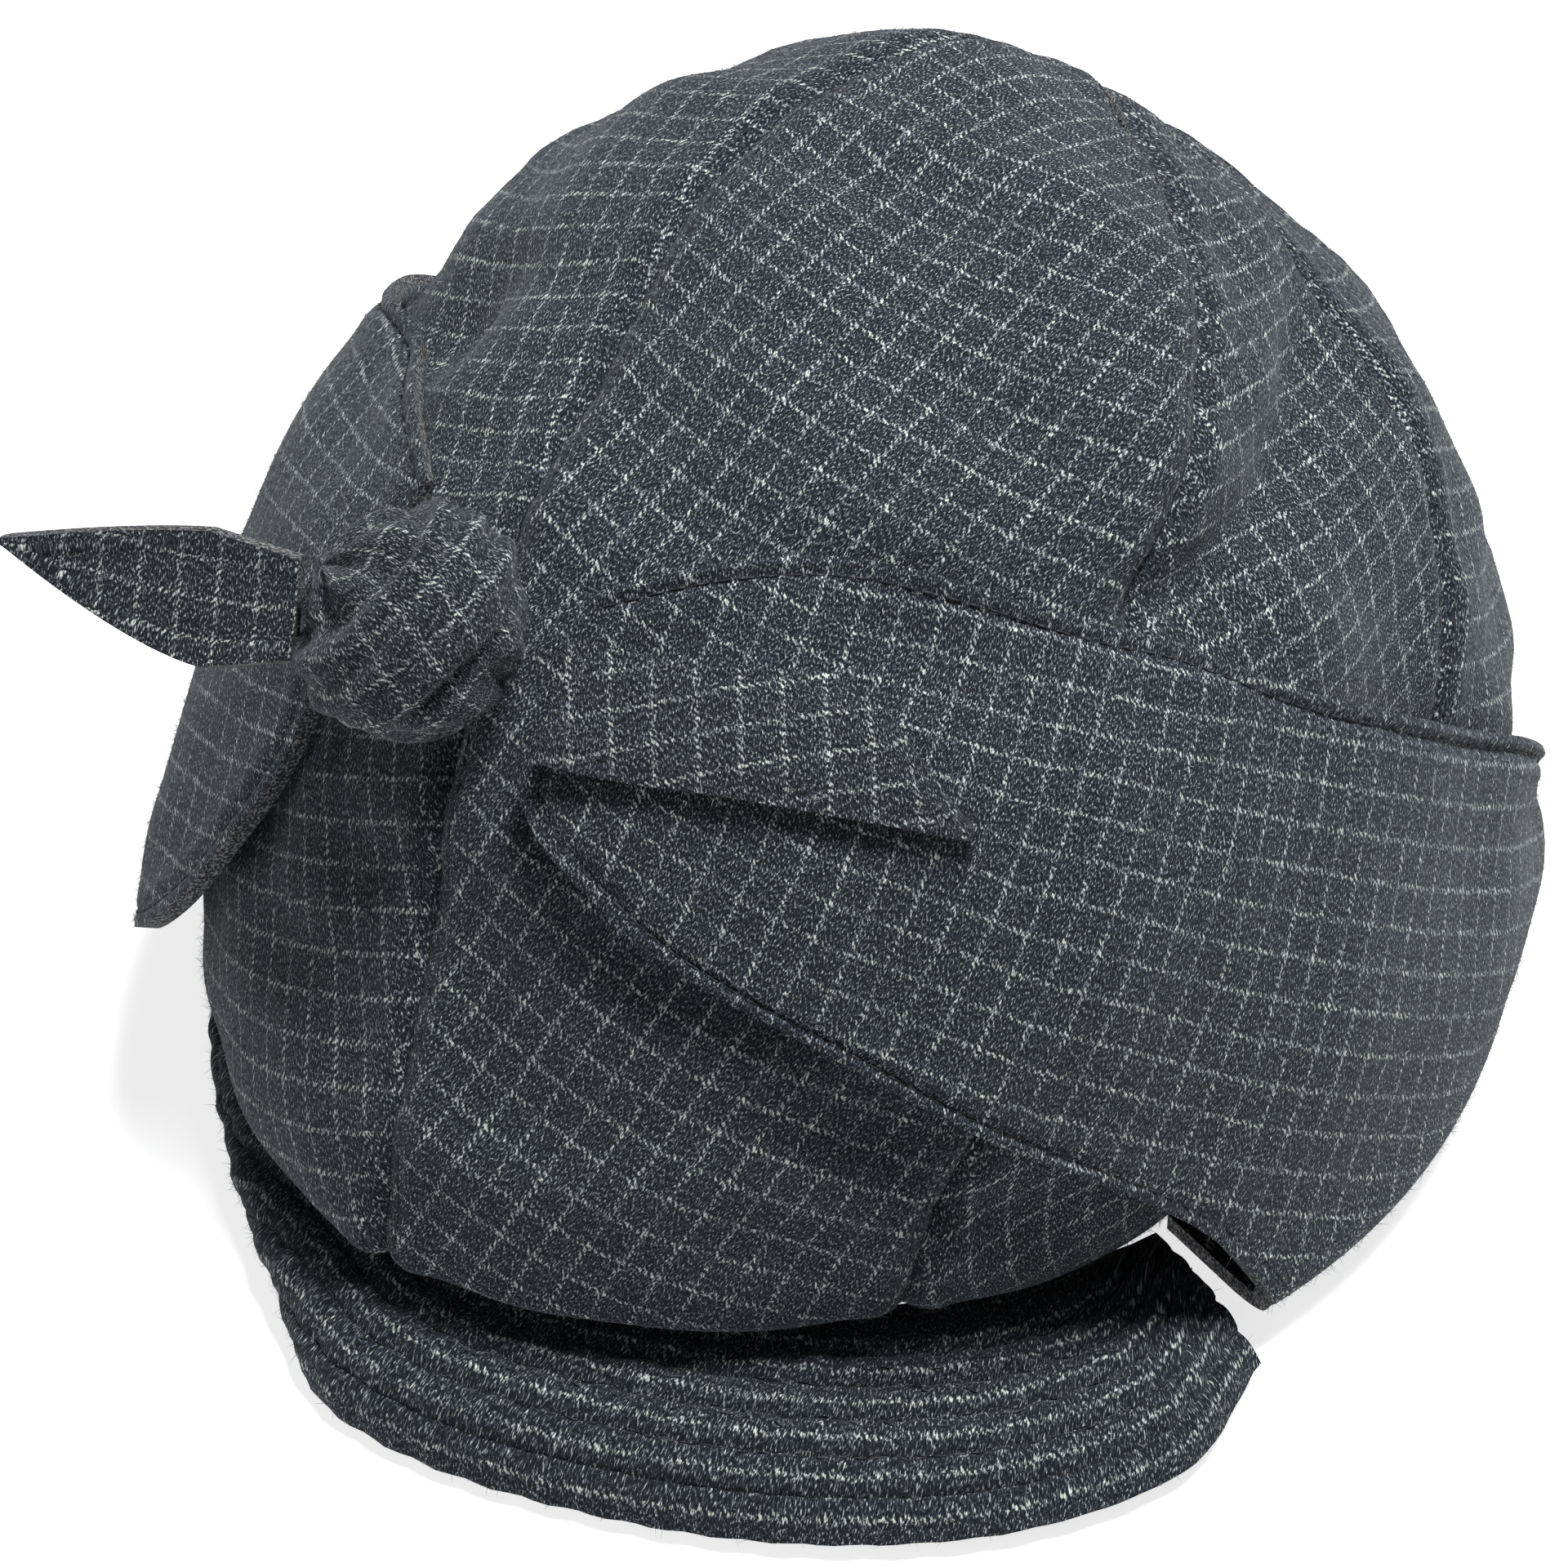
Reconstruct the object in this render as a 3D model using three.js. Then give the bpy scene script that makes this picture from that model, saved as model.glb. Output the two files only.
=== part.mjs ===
// A wool check hat: eight sewn gores, one front peak, and two ear flaps that
// turn up round the crown and are knotted over its front.
// Millimetres, +Z up. The front faces -Y and the wearer's left is +X.
import * as THREE from 'three';

// Crown: outer face. The length runs front to back and the slump moves the top.
const CROWN = {
  halfWidth: 93, halfLength: 106, height: 128, belly: 22, squareness: 2.4, rimShare: 0.89, tuckPower: 2.2,
  slumpBack: 28, slumpSide: -15, slumpPower: 2.5, wall: 2,
};
const BULGE = { forward: 13, heightShare: 0.2, spread: 0.2 };
const RIM = { front: 15, side: 4.1, frontPower: 1.5, restHalf: 9, restRamp: 30 };
const SEAM_POLE = { lean: 40, turn: -12, holeAngle: 0.05 };
const GORES = { count: 8, across: 5, tuckRows: 3, domeRows: 10, gap: 0.5 };

// Soft dents, one long valley and one swell (its depth is negative) in the crown cloth. A dent fades where the crown is
// narrower than a third of its width, and half of its depth also lowers the cloth.
const DENTS = [
  { azimuth: -57, height: 105, wide: 14, tall: 9, depth: 5 },
  { azimuth: 40, height: 104, wide: 12, tall: 7, depth: 4 },
  { azimuth: 80, height: 100, wide: 22, tall: 7, depth: 4 },
  { azimuth: 112, height: 103, wide: 24, tall: 9, depth: 3.5 },
  { azimuth: 155, height: 106, wide: 42, tall: 20, depth: 8 },
  { azimuth: 139, height: 44, wide: 28, tall: 16, depth: -5 },
];

const DENT_FADE = 3;
const DENT_DROP = 0.5;

// Small steps for slopes, and how far above the belly the rim's level lines blend in.
const STEP = { dome: 0.02, gore: 0.01 };
const RIM_BLEND = 6;

// Peak: the wearer's left half flares, the right half bends under the rim.
const PEAK = { wall: 3.4, rimGap: 0.4, rootDrop: 2, across: 7, along: 30 };
const PEAK_SECTIONS = [
  { azimuth: -66, edgeRadius: 84, edgeHeight: 3.2, kneeRadius: 106, kneeHeight: 8 },
  { azimuth: -45, edgeRadius: 86, edgeHeight: 2.6, kneeRadius: 112, kneeHeight: 8 },
  { azimuth: -22, edgeRadius: 96, edgeHeight: 2.4, kneeRadius: 124, kneeHeight: 9 },
  { azimuth: -10, edgeRadius: 115, edgeHeight: 2.2, kneeRadius: 130, kneeHeight: 12 },
  { azimuth: 0, edgeRadius: 131, edgeHeight: 2.2, kneeRadius: 131, kneeHeight: 14 },
  { azimuth: 20, edgeRadius: 132, edgeHeight: 2.2, kneeRadius: 128, kneeHeight: 15 },
  { azimuth: 45, edgeRadius: 132, edgeHeight: 2.2, kneeRadius: 120, kneeHeight: 13 },
  { azimuth: 58, edgeRadius: 127, edgeHeight: 2.2, kneeRadius: 113, kneeHeight: 11 },
  { azimuth: 67, edgeRadius: 114, edgeHeight: 2.6, kneeRadius: 103, kneeHeight: 8 },
];

// Flaps: rows run from the root under the rim, round the fold, up to the free edge.
// A row runs from its side's front azimuth back to the rear end, over a middle height.
const FLAP = {
  wall: 3, along: 18, rowSteps: 2, middle: 100, rear: 136, leftKnotEnd: 4, rightKnotEnd: 25, leastHeight: 0.3,
};
const FLAP_ROWS = [
  {
    left: 73, right: 73, frontHeight: 0.3, middleHeight: 0.3, rearHeight: 0.3,
    leftOut: -2, rightOut: -2, rearOut: -2,
  },
  {
    left: 73, right: 73, frontHeight: 0.3, middleHeight: 0.3, rearHeight: 0.3,
    leftOut: 14, rightOut: 10, rearOut: 7,
  },
  {
    left: 73, right: 72, frontHeight: 2, middleHeight: 2, rearHeight: 1.5,
    leftOut: 21, rightOut: 15, rearOut: 7,
  },
  {
    left: 72, right: 64, frontHeight: 9, middleHeight: 8, rearHeight: 4,
    leftOut: 22, rightOut: 15.5, rearOut: 8,
  },
  {
    left: 70, right: 50, frontHeight: 18, middleHeight: 16, rearHeight: 7,
    leftOut: 14, rightOut: 12.5, rearOut: 9,
  },
  {
    left: 65, right: 40, frontHeight: 29, middleHeight: 26, rearHeight: 9,
    leftOut: 10.5, rightOut: 11, rearOut: 10,
  },
  {
    left: 56, right: 33, frontHeight: 42, middleHeight: 36, rearHeight: 11,
    leftOut: 8, rightOut: 8.5, rearOut: 9,
  },
  {
    left: 37, right: 27, frontHeight: 62, middleHeight: 46, rearHeight: 12,
    leftOut: 6, rightOut: 6, rearOut: 7,
  },
  {
    left: 16, right: 25, frontHeight: 76, middleHeight: 55, rearHeight: 13,
    leftOut: 5.2, rightOut: 5.2, rearOut: 5.6,
  },
  {
    left: 4, right: 25, frontHeight: 86, middleHeight: 61, rearHeight: 13.7,
    leftOut: 5, rightOut: 5, rearOut: 5,
  },
  {
    left: 4.5, right: 25, frontHeight: 95, middleHeight: 65.5, rearHeight: 14.4,
    leftOut: 4.8, rightOut: 4.8, rearOut: 4.8,
  },
  {
    left: 4.5, right: 25, frontHeight: 104, middleHeight: 69.5, rearHeight: 15,
    leftOut: 4.6, rightOut: 4.6, rearOut: 4.6,
  },
];

// Knot: a rolled lump of cloth on the front of the crown.
const KNOT = {
  azimuth: -10, height: 95, out: 13.7, halfAcross: 17, halfTall: 17, halfDeep: 13,
  lobes: 3, lobeDepth: 0.05, around: 18, rings: 10,
};

// Tie ends: the left one lies on its flap, the right one stands out in the air.
const TIE = { wall: 3, along: 12, across: 4 };
const LYING_TIE = [
  { azimuth: 6, low: 89, high: 100, out: 9.15 },
  { azimuth: 24, low: 90, high: 101, out: 8.55 },
  { azimuth: 38, low: 88, high: 98, out: 8.45 },
  { azimuth: 48, low: 85, high: 86.5, out: 8.35 },
];
const STANDING_TIE = {
  length: 52, halfWidth: 10, rootShare: 0.75, tipShare: 0.06, widestAt: 0.3,
  heading: 204, rise: -2, twist: 35, start: 17.1, taperPower: 1.4,
};

// Colours of the cloth, read from the photograph.
const CLOTH_COLOUR = 0x3b3e45;
const HEM_COLOUR = 0x363940;

const radians = THREE.MathUtils.degToRad;
const mix = THREE.MathUtils.lerp;
const clamp = THREE.MathUtils.clamp;
const HALF_TURN = Math.PI;

function cloth(name, colour) {
  return new THREE.MeshStandardMaterial({ name, color: colour, roughness: 0.95, metalness: 0 });
}

// Height of the rim above the table at an angle from the front. The rear rests flat.
function rimHeight(angle) {
  const facing = Math.cos(angle);
  if (facing >= 0) return RIM.side + (RIM.front - RIM.side) * facing ** RIM.frontPower;
  const fromBack = THREE.MathUtils.radToDeg(HALF_TURN - Math.acos(facing));
  return RIM.side * clamp((fromBack - RIM.restHalf) / RIM.restRamp, 0, 1);
}

function dentDepth(angle, height) {
  let depth = 0;
  for (const dent of DENTS) {
    const turn = THREE.MathUtils.euclideanModulo(angle - radians(dent.azimuth) + HALF_TURN, 2 * HALF_TURN);
    const across = (turn - HALF_TURN) / radians(dent.wide);
    const up = (height - dent.height) / dent.tall;
    depth += dent.depth * Math.exp(-across * across - up * up);
  }
  return depth;
}

// A point of the crown's outer face: lift runs from -1 at the rim over 0 at the
// belly to a quarter turn at the top.
function domePoint(angle, lift) {
  const rim = rimHeight(angle);
  const power = 2 / CROWN.squareness;
  let height;
  let share;
  if (lift >= 0) {
    height = CROWN.belly + (CROWN.height - CROWN.belly) * Math.sin(lift) ** power;
    share = Math.max(0, Math.cos(lift)) ** power;
  } else {
    height = CROWN.belly + (CROWN.belly - rim) * lift;
    share = 1 - (1 - CROWN.rimShare) * (-lift) ** CROWN.tuckPower;
  }
  const bandHeight = (height / CROWN.height - BULGE.heightShare) / BULGE.spread;
  const bulge = BULGE.forward * Math.max(0, Math.cos(angle)) ** 2 * Math.exp(-bandHeight * bandHeight);
  const slump = (height / CROWN.height) ** CROWN.slumpPower;
  const dent = dentDepth(angle, height) * Math.min(1, DENT_FADE * share);
  const x = (CROWN.halfWidth * share - dent) * Math.sin(angle) + CROWN.slumpSide * slump;
  const y = -(CROWN.halfLength * share + bulge - dent) * Math.cos(angle) + CROWN.slumpBack * slump;
  return new THREE.Vector3(x, y, height - DENT_DROP * dent * Math.min(1, height / CROWN.height));
}

// The lift that gives a height above the table.
function liftAt(angle, height) {
  if (height < CROWN.belly) {
    return Math.max(-1, (height - CROWN.belly) / (CROWN.belly - rimHeight(angle)));
  }
  const rise = clamp((height - CROWN.belly) / (CROWN.height - CROWN.belly), 0, 1);
  return Math.asin(rise ** (CROWN.squareness / 2));
}

// A point held a distance out from the crown, at a height above the table.
function besideCrown(angle, height, out) {
  const lift = liftAt(angle, height);
  const step = STEP.dome;
  const foot = domePoint(angle, lift);
  const along = domePoint(angle + step, lift).sub(domePoint(angle - step, lift));
  const up = domePoint(angle, lift + step).sub(domePoint(angle, lift));
  const normal = along.cross(up).normalize();
  const level = new THREE.Vector3(Math.sin(angle), -Math.cos(angle), 0);
  const nearRim = clamp((CROWN.belly + RIM_BLEND - height) / (2 * RIM_BLEND), 0, 1);
  normal.lerp(level, nearRim).normalize();
  const point = foot.addScaledVector(normal, out);
  if (nearRim > 0) point.z = mix(point.z, height, nearRim);
  return point;
}

// A closed solid from a grid of outer points and a grid of inner points.
// rows[j][i] runs i along and j across, with the outward side at along x across.
function wallBetween(outer, inner, flip = false) {
  const rows = outer.length;
  const columns = outer[0].length;
  const positions = [];
  for (const grid of [outer, inner]) {
    for (const row of grid) for (const p of row) positions.push(p.x, p.y, p.z);
  }
  const at = (layer, j, i) => layer * rows * columns + j * columns + i;
  const triangles = [];
  const quad = (a, b, c, d) => triangles.push(...(flip ? [a, c, b, a, d, c] : [a, b, c, a, c, d]));
  for (let j = 0; j < rows - 1; j += 1) {
    for (let i = 0; i < columns - 1; i += 1) {
      quad(at(0, j, i), at(0, j, i + 1), at(0, j + 1, i + 1), at(0, j + 1, i));
      quad(at(1, j, i), at(1, j + 1, i), at(1, j + 1, i + 1), at(1, j, i + 1));
    }
  }
  for (let i = 0; i < columns - 1; i += 1) {
    quad(at(1, 0, i), at(1, 0, i + 1), at(0, 0, i + 1), at(0, 0, i));
    quad(at(0, rows - 1, i), at(0, rows - 1, i + 1), at(1, rows - 1, i + 1), at(1, rows - 1, i));
  }
  for (let j = 0; j < rows - 1; j += 1) {
    quad(at(0, j, 0), at(0, j + 1, 0), at(1, j + 1, 0), at(1, j, 0));
    quad(at(1, j, columns - 1), at(1, j + 1, columns - 1), at(0, j + 1, columns - 1), at(0, j, columns - 1));
  }
  const geometry = new THREE.BufferGeometry();
  geometry.setAttribute('position', new THREE.Float32BufferAttribute(positions, 3));
  geometry.setIndex(triangles);
  geometry.computeVertexNormals();
  return geometry;
}

// Unit normals of a grid of points, on the along x across side.
function gridNormals(grid) {
  const rows = grid.length;
  const columns = grid[0].length;
  return grid.map((row, j) => row.map((_, i) => {
    const along = grid[j][Math.min(i + 1, columns - 1)].clone().sub(grid[j][Math.max(i - 1, 0)]);
    const across = grid[Math.min(j + 1, rows - 1)][i].clone().sub(grid[Math.max(j - 1, 0)][i]);
    return along.cross(across).normalize();
  }));
}

function offsetGrid(grid, normals, distance) {
  return grid.map((row, j) => row.map((p, i) => p.clone().addScaledVector(normals[j][i], distance)));
}

// Smooth values between table rows: t runs over the whole table.
function readTable(table, t) {
  const last = table.length - 1;
  const place = clamp(t, 0, 1) * last;
  const start = Math.min(Math.floor(place), last - 1);
  const f = place - start;
  const row = (k) => table[clamp(k, 0, last)];
  const result = {};
  for (const key of Object.keys(table[0])) {
    const [p, q, r, s] = [row(start - 1)[key], row(start)[key], row(start + 1)[key], row(start + 2)[key]];
    result[key] = q + 0.5 * f * (r - p + f * (2 * p - 5 * q + 4 * r - s + f * (3 * (q - r) + s - p)));
  }
  return result;
}

// Place t in the table where a column has a value; the column must rise.
function placeOf(table, key, value) {
  const last = table.length - 1;
  for (let k = 0; k < last; k += 1) {
    const [low, high] = [table[k][key], table[k + 1][key]];
    if (value <= high || k === last - 1) return (k + clamp((value - low) / (high - low), 0, 1)) / last;
  }
  return 1;
}

// Crown gores: each seam runs up from the rim to the point where the seams meet,
// which lies behind the top of the leaning crown.
function seamPole() {
  const lean = radians(SEAM_POLE.lean);
  const turn = radians(SEAM_POLE.turn);
  return new THREE.Vector3(Math.sin(lean) * Math.sin(turn), Math.sin(lean) * Math.cos(turn), Math.cos(lean));
}

function gorePoint(angle, rise) {
  if (rise < 0) return domePoint(angle, rise);
  const foot = new THREE.Vector3(Math.sin(angle), -Math.cos(angle), 0);
  const pole = seamPole();
  const span = foot.angleTo(pole);
  const turned = rise * (span - SEAM_POLE.holeAngle);
  const direction = foot.multiplyScalar(Math.sin(span - turned) / Math.sin(span));
  direction.addScaledVector(pole, Math.sin(turned) / Math.sin(span));
  const heading = Math.atan2(direction.x, -direction.y);
  return domePoint(heading, Math.asin(clamp(direction.z, 0, 1)));
}

function goreNormal(angle, rise) {
  const step = STEP.gore;
  const along = gorePoint(angle + step, rise).sub(gorePoint(angle - step, rise));
  const lower = Math.max(-1, rise - step);
  const up = gorePoint(angle, Math.min(1, rise + step)).sub(gorePoint(angle, lower));
  return along.cross(up).normalize();
}

function goreGeometry(index) {
  const sweep = 2 * HALF_TURN / GORES.count;
  const outer = [];
  const inner = [];
  const rises = [];
  for (let k = 0; k < GORES.tuckRows; k += 1) rises.push(-1 + k / GORES.tuckRows);
  for (let k = 0; k <= GORES.domeRows; k += 1) rises.push(k / GORES.domeRows);
  for (const rise of rises) {
    const outerRow = [];
    const innerRow = [];
    for (let i = 0; i <= GORES.across; i += 1) {
      const angle = (index + i / GORES.across) * sweep;
      const point = gorePoint(angle, rise);
      const side = gorePoint(angle + STEP.gore, rise).sub(gorePoint(angle - STEP.gore, rise)).normalize();
      const inset = i === 0 ? 1 : i === GORES.across ? -1 : 0;
      const normal = goreNormal(angle, rise);
      if (rise <= -1) normal.setZ(0).normalize();
      point.addScaledVector(side, inset * GORES.gap / 2);
      outerRow.push(point);
      innerRow.push(point.clone().addScaledVector(normal, -CROWN.wall));
    }
    outer.push(outerRow);
    inner.push(innerRow);
  }
  return wallBetween(outer, inner);
}

// Peak: the middle of its wall follows a bent line from the rim out to the edge.
function peakGeometry() {
  const middle = [];
  const first = PEAK_SECTIONS[0].azimuth;
  const last = PEAK_SECTIONS[PEAK_SECTIONS.length - 1].azimuth;
  for (let j = 0; j <= PEAK.across; j += 1) {
    const reach = 1 - j / PEAK.across;
    const row = [];
    for (let i = 0; i <= PEAK.along; i += 1) {
      const azimuth = mix(first, last, i / PEAK.along);
      const section = readTable(PEAK_SECTIONS, placeOf(PEAK_SECTIONS, 'azimuth', azimuth));
      const polar = radians(azimuth);
      const angle = Math.atan2(Math.sin(polar) / CROWN.halfWidth, Math.cos(polar) / CROWN.halfLength);
      const rim = domePoint(angle, -1);
      const rootRadius = Math.hypot(rim.x, rim.y) + PEAK.rimGap + PEAK.wall / 2;
      const knee = 2 * reach * (1 - reach);
      const radius = (1 - reach) ** 2 * rootRadius + knee * section.kneeRadius + reach ** 2 * section.edgeRadius;
      const rootHeight = rim.z - PEAK.rootDrop;
      const height = (1 - reach) ** 2 * rootHeight + knee * section.kneeHeight + reach ** 2 * section.edgeHeight;
      row.push(new THREE.Vector3(radius * Math.sin(polar), -radius * Math.cos(polar), height));
    }
    middle.push(row);
  }
  const normals = gridNormals(middle);
  return wallBetween(offsetGrid(middle, normals, PEAK.wall / 2), offsetGrid(middle, normals, -PEAK.wall / 2));
}

// Height along a row of the flap: a curve through its front, middle and rear heights.
function rowHeight(row, front, azimuth) {
  const [a, b, c] = [front, FLAP.middle, FLAP.rear];
  const frontPart = row.frontHeight * ((azimuth - b) * (azimuth - c)) / ((a - b) * (a - c));
  const middlePart = row.middleHeight * ((azimuth - a) * (azimuth - c)) / ((b - a) * (b - c));
  const rearPart = row.rearHeight * ((azimuth - a) * (azimuth - b)) / ((c - a) * (c - b));
  return frontPart + middlePart + rearPart;
}

function flapGeometry(side) {
  const knotEnd = side > 0 ? FLAP.leftKnotEnd : FLAP.rightKnotEnd;
  const outer = [];
  const rows = (FLAP_ROWS.length - 1) * FLAP.rowSteps;
  for (let j = 0; j <= rows; j += 1) {
    const row = readTable(FLAP_ROWS, j / rows);
    const front = Math.max(side > 0 ? row.left : row.right, knotEnd);
    const frontOut = side > 0 ? row.leftOut : row.rightOut;
    const line = [];
    for (let i = 0; i <= FLAP.along; i += 1) {
      const share = i / FLAP.along;
      const azimuth = mix(front, FLAP.rear, share);
      const out = mix(frontOut, row.rearOut, share);
      const height = Math.max(FLAP.leastHeight, rowHeight(row, front, azimuth));
      line.push(besideCrown(radians(side * azimuth), height, out));
    }
    outer.push(line);
  }
  const normals = gridNormals(outer);
  const sign = side > 0 ? 1 : -1;
  return wallBetween(outer, offsetGrid(outer, normals, -sign * FLAP.wall), side < 0);
}

function knotFrame() {
  const angle = radians(KNOT.azimuth);
  const centre = besideCrown(angle, KNOT.height, KNOT.out);
  const near = besideCrown(angle, KNOT.height, 0);
  const deep = centre.clone().sub(near).normalize();
  const across = new THREE.Vector3(Math.cos(angle), Math.sin(angle), 0);
  const tall = deep.clone().cross(across).normalize();
  return { centre, deep, across, tall };
}

function knotGeometry() {
  const geometry = new THREE.SphereGeometry(1, KNOT.around, KNOT.rings);
  const frame = knotFrame();
  const place = geometry.getAttribute('position');
  for (let k = 0; k < place.count; k += 1) {
    const [x, y, z] = [place.getX(k), place.getY(k), place.getZ(k)];
    const ring = 1 + KNOT.lobeDepth * Math.cos(KNOT.lobes * Math.atan2(y, x)) * (1 - z * z);
    const point = frame.centre.clone();
    point.addScaledVector(frame.across, KNOT.halfAcross * x * ring);
    point.addScaledVector(frame.tall, KNOT.halfTall * y * ring);
    point.addScaledVector(frame.deep, KNOT.halfDeep * z);
    place.setXYZ(k, point.x, point.y, point.z);
  }
  return geometry;
}

function lyingTieGeometry() {
  const outer = [];
  for (let j = 0; j <= TIE.across; j += 1) {
    const line = [];
    for (let i = 0; i <= TIE.along; i += 1) {
      const section = readTable(LYING_TIE, i / TIE.along);
      const height = mix(section.low, section.high, j / TIE.across);
      line.push(besideCrown(radians(section.azimuth), height, section.out));
    }
    outer.push(line);
  }
  return wallBetween(outer, offsetGrid(outer, gridNormals(outer), -TIE.wall));
}

function standingTieGeometry() {
  const frame = knotFrame();
  const heading = radians(STANDING_TIE.heading);
  const rise = radians(STANDING_TIE.rise);
  const level = Math.cos(rise);
  const along = new THREE.Vector3(Math.cos(heading) * level, Math.sin(heading) * level, Math.sin(rise));
  const upright = new THREE.Vector3(0, 0, 1).addScaledVector(along, -along.z).normalize();
  upright.applyAxisAngle(along, radians(STANDING_TIE.twist));
  const middle = [];
  for (let j = 0; j <= TIE.across; j += 1) {
    const line = [];
    for (let i = 0; i <= TIE.along; i += 1) {
      const t = i / TIE.along;
      const taper = t < STANDING_TIE.widestAt
        ? mix(STANDING_TIE.rootShare, 1, t / STANDING_TIE.widestAt)
        : mix(1, STANDING_TIE.tipShare, ((t - STANDING_TIE.widestAt) / (1 - STANDING_TIE.widestAt)) ** STANDING_TIE.taperPower);
      const width = STANDING_TIE.halfWidth * taper * mix(-1, 1, j / TIE.across);
      const point = frame.centre.clone();
      point.addScaledVector(along, STANDING_TIE.start + t * STANDING_TIE.length);
      point.addScaledVector(upright, width);
      line.push(point);
    }
    middle.push(line);
  }
  const normals = gridNormals(middle);
  return wallBetween(offsetGrid(middle, normals, TIE.wall / 2), offsetGrid(middle, normals, -TIE.wall / 2));
}

function piece(name, geometry, material) {
  const mesh = new THREE.Mesh(geometry, material);
  mesh.name = name;
  return mesh;
}

const wool = cloth('wool_check', CLOTH_COLOUR);
const hemWool = cloth('wool_check_folded', HEM_COLOUR);
const hat = new THREE.Group();
hat.name = 'hat';
for (let index = 0; index < GORES.count; index += 1) {
  hat.add(piece(`crown_panel_${index + 1}`, goreGeometry(index), wool));
}
hat.add(piece('peak', peakGeometry(), wool));
hat.add(piece('flap_left', flapGeometry(1), wool));
hat.add(piece('flap_right', flapGeometry(-1), wool));
hat.add(piece('knot', knotGeometry(), hemWool));
hat.add(piece('tie_end_left', lyingTieGeometry(), hemWool));
hat.add(piece('tie_end_right', standingTieGeometry(), hemWool));

const extent = new THREE.Box3().setFromObject(hat);
const centre = extent.getCenter(new THREE.Vector3());
hat.position.set(-centre.x, -centre.y, -extent.min.z);

export default hat;
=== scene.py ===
"""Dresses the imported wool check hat: crown gores, peak, turned-up flaps, knot and tie ends."""

import logging
import math
from collections.abc import Iterable
from dataclasses import dataclass, field
from enum import Enum

import bmesh
import bpy
import numpy as np
from mathutils import Matrix, Vector


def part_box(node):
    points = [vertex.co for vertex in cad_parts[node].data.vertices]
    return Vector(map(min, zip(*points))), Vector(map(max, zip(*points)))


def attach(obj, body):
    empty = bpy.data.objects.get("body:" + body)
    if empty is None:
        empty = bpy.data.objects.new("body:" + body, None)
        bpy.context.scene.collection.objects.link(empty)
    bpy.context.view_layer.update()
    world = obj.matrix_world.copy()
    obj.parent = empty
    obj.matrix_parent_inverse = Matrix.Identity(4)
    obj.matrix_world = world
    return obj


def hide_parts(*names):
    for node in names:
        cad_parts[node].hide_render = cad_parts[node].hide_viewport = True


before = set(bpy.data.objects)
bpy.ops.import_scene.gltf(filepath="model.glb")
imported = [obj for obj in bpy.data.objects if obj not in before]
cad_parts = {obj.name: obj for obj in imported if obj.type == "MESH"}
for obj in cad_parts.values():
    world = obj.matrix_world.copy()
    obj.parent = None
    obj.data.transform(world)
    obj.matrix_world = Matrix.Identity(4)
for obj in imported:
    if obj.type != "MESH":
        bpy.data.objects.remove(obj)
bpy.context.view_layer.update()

logging.basicConfig(level=logging.INFO, format="%(message)s")
log = logging.getLogger("hat")

# Sizes below are in millimetres and angles in degrees from the front, plus to the wearer's left.
MM = 0.001
CHECK_REPEAT = 5.9
CLOTH_UV = "cloth"
Socket = bpy.types.NodeSocket
Line = tuple[np.ndarray, np.ndarray]
FLOOR_GAP = 0.05
MERGE_WITHIN = 0.01
EDGE_STEPS = 3
EDGE_ANGLE = 50
DENT_PARAMETERS = ("azimuth", "height", "wide", "tall", "depth")
CROWN_DENTS = (
    (-57, 105, 14, 9, 5),
    (40, 104, 12, 7, 4),
    (80, 100, 22, 7, 4),
    (112, 103, 24, 9, 3.5),
    (155, 106, 42, 20, 8),
    (139, 44, 28, 16, -5),
)
CROWN_CREASES = (
    (-57, 105, 8, 5, 2.4),
    (-20, 117, 14, 4, 1.6),
    (40, 104, 7, 4, 2.2),
    (80, 100, 20, 3.5, 2.4),
    (112, 103, 22, 4, 2.4),
    (62, 84, 12, 3, 1.2),
)
PEAK_COLUMNS = ("azimuth", "edge_radius", "edge_height", "knee_radius", "knee_height")
PEAK_SECTIONS = (
    (-66, 84, 3.2, 106, 8),
    (-45, 86, 2.6, 112, 8),
    (-22, 96, 2.4, 124, 9),
    (-10, 115, 2.2, 130, 12),
    (0, 131, 2.2, 131, 14),
    (20, 132, 2.2, 128, 15),
    (45, 132, 2.2, 120, 13),
    (58, 127, 2.2, 113, 11),
    (67, 114, 2.6, 103, 8),
)
FLAP_COLUMNS = (
    "left", "right", "front_height", "middle_height", "rear_height", "left_out", "right_out", "rear_out",
)
FLAP_ROWS = (
    (73, 73, 0.3, 0.3, 0.3, -2, -2, -2),
    (73, 73, 0.3, 0.3, 0.3, 14, 10, 7),
    (73, 72, 2, 2, 1.5, 21, 15, 7),
    (72, 64, 9, 8, 4, 22, 15.5, 8),
    (70, 50, 18, 16, 7, 14, 12.5, 9),
    (65, 40, 29, 26, 9, 10.5, 11, 10),
    (56, 33, 42, 36, 11, 8, 8.5, 9),
    (37, 27, 62, 46, 12, 6, 6, 7),
    (16, 25, 76, 55, 13, 5.2, 5.2, 5.6),
    (4, 25, 86, 61, 13.7, 5, 5, 5),
    (4.5, 25, 95, 65.5, 14.4, 4.8, 4.8, 4.8),
    (4.5, 25, 104, 69.5, 15, 4.6, 4.6, 4.6),
)
LYING_TIE_COLUMNS = ("azimuth", "low", "high", "out")
LYING_TIE = ((6, 89, 100, 9.15), (24, 90, 101, 8.55), (38, 88, 98, 8.45), (48, 85, 86.5, 8.35))


class Side(Enum):
    """The wearer's side that a flap belongs to."""

    LEFT = 1
    RIGHT = -1


class Slot(Enum):
    """The record's material slots."""

    WOOL = "wool_check"
    FOLDED_WOOL = "wool_check_folded"


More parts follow.
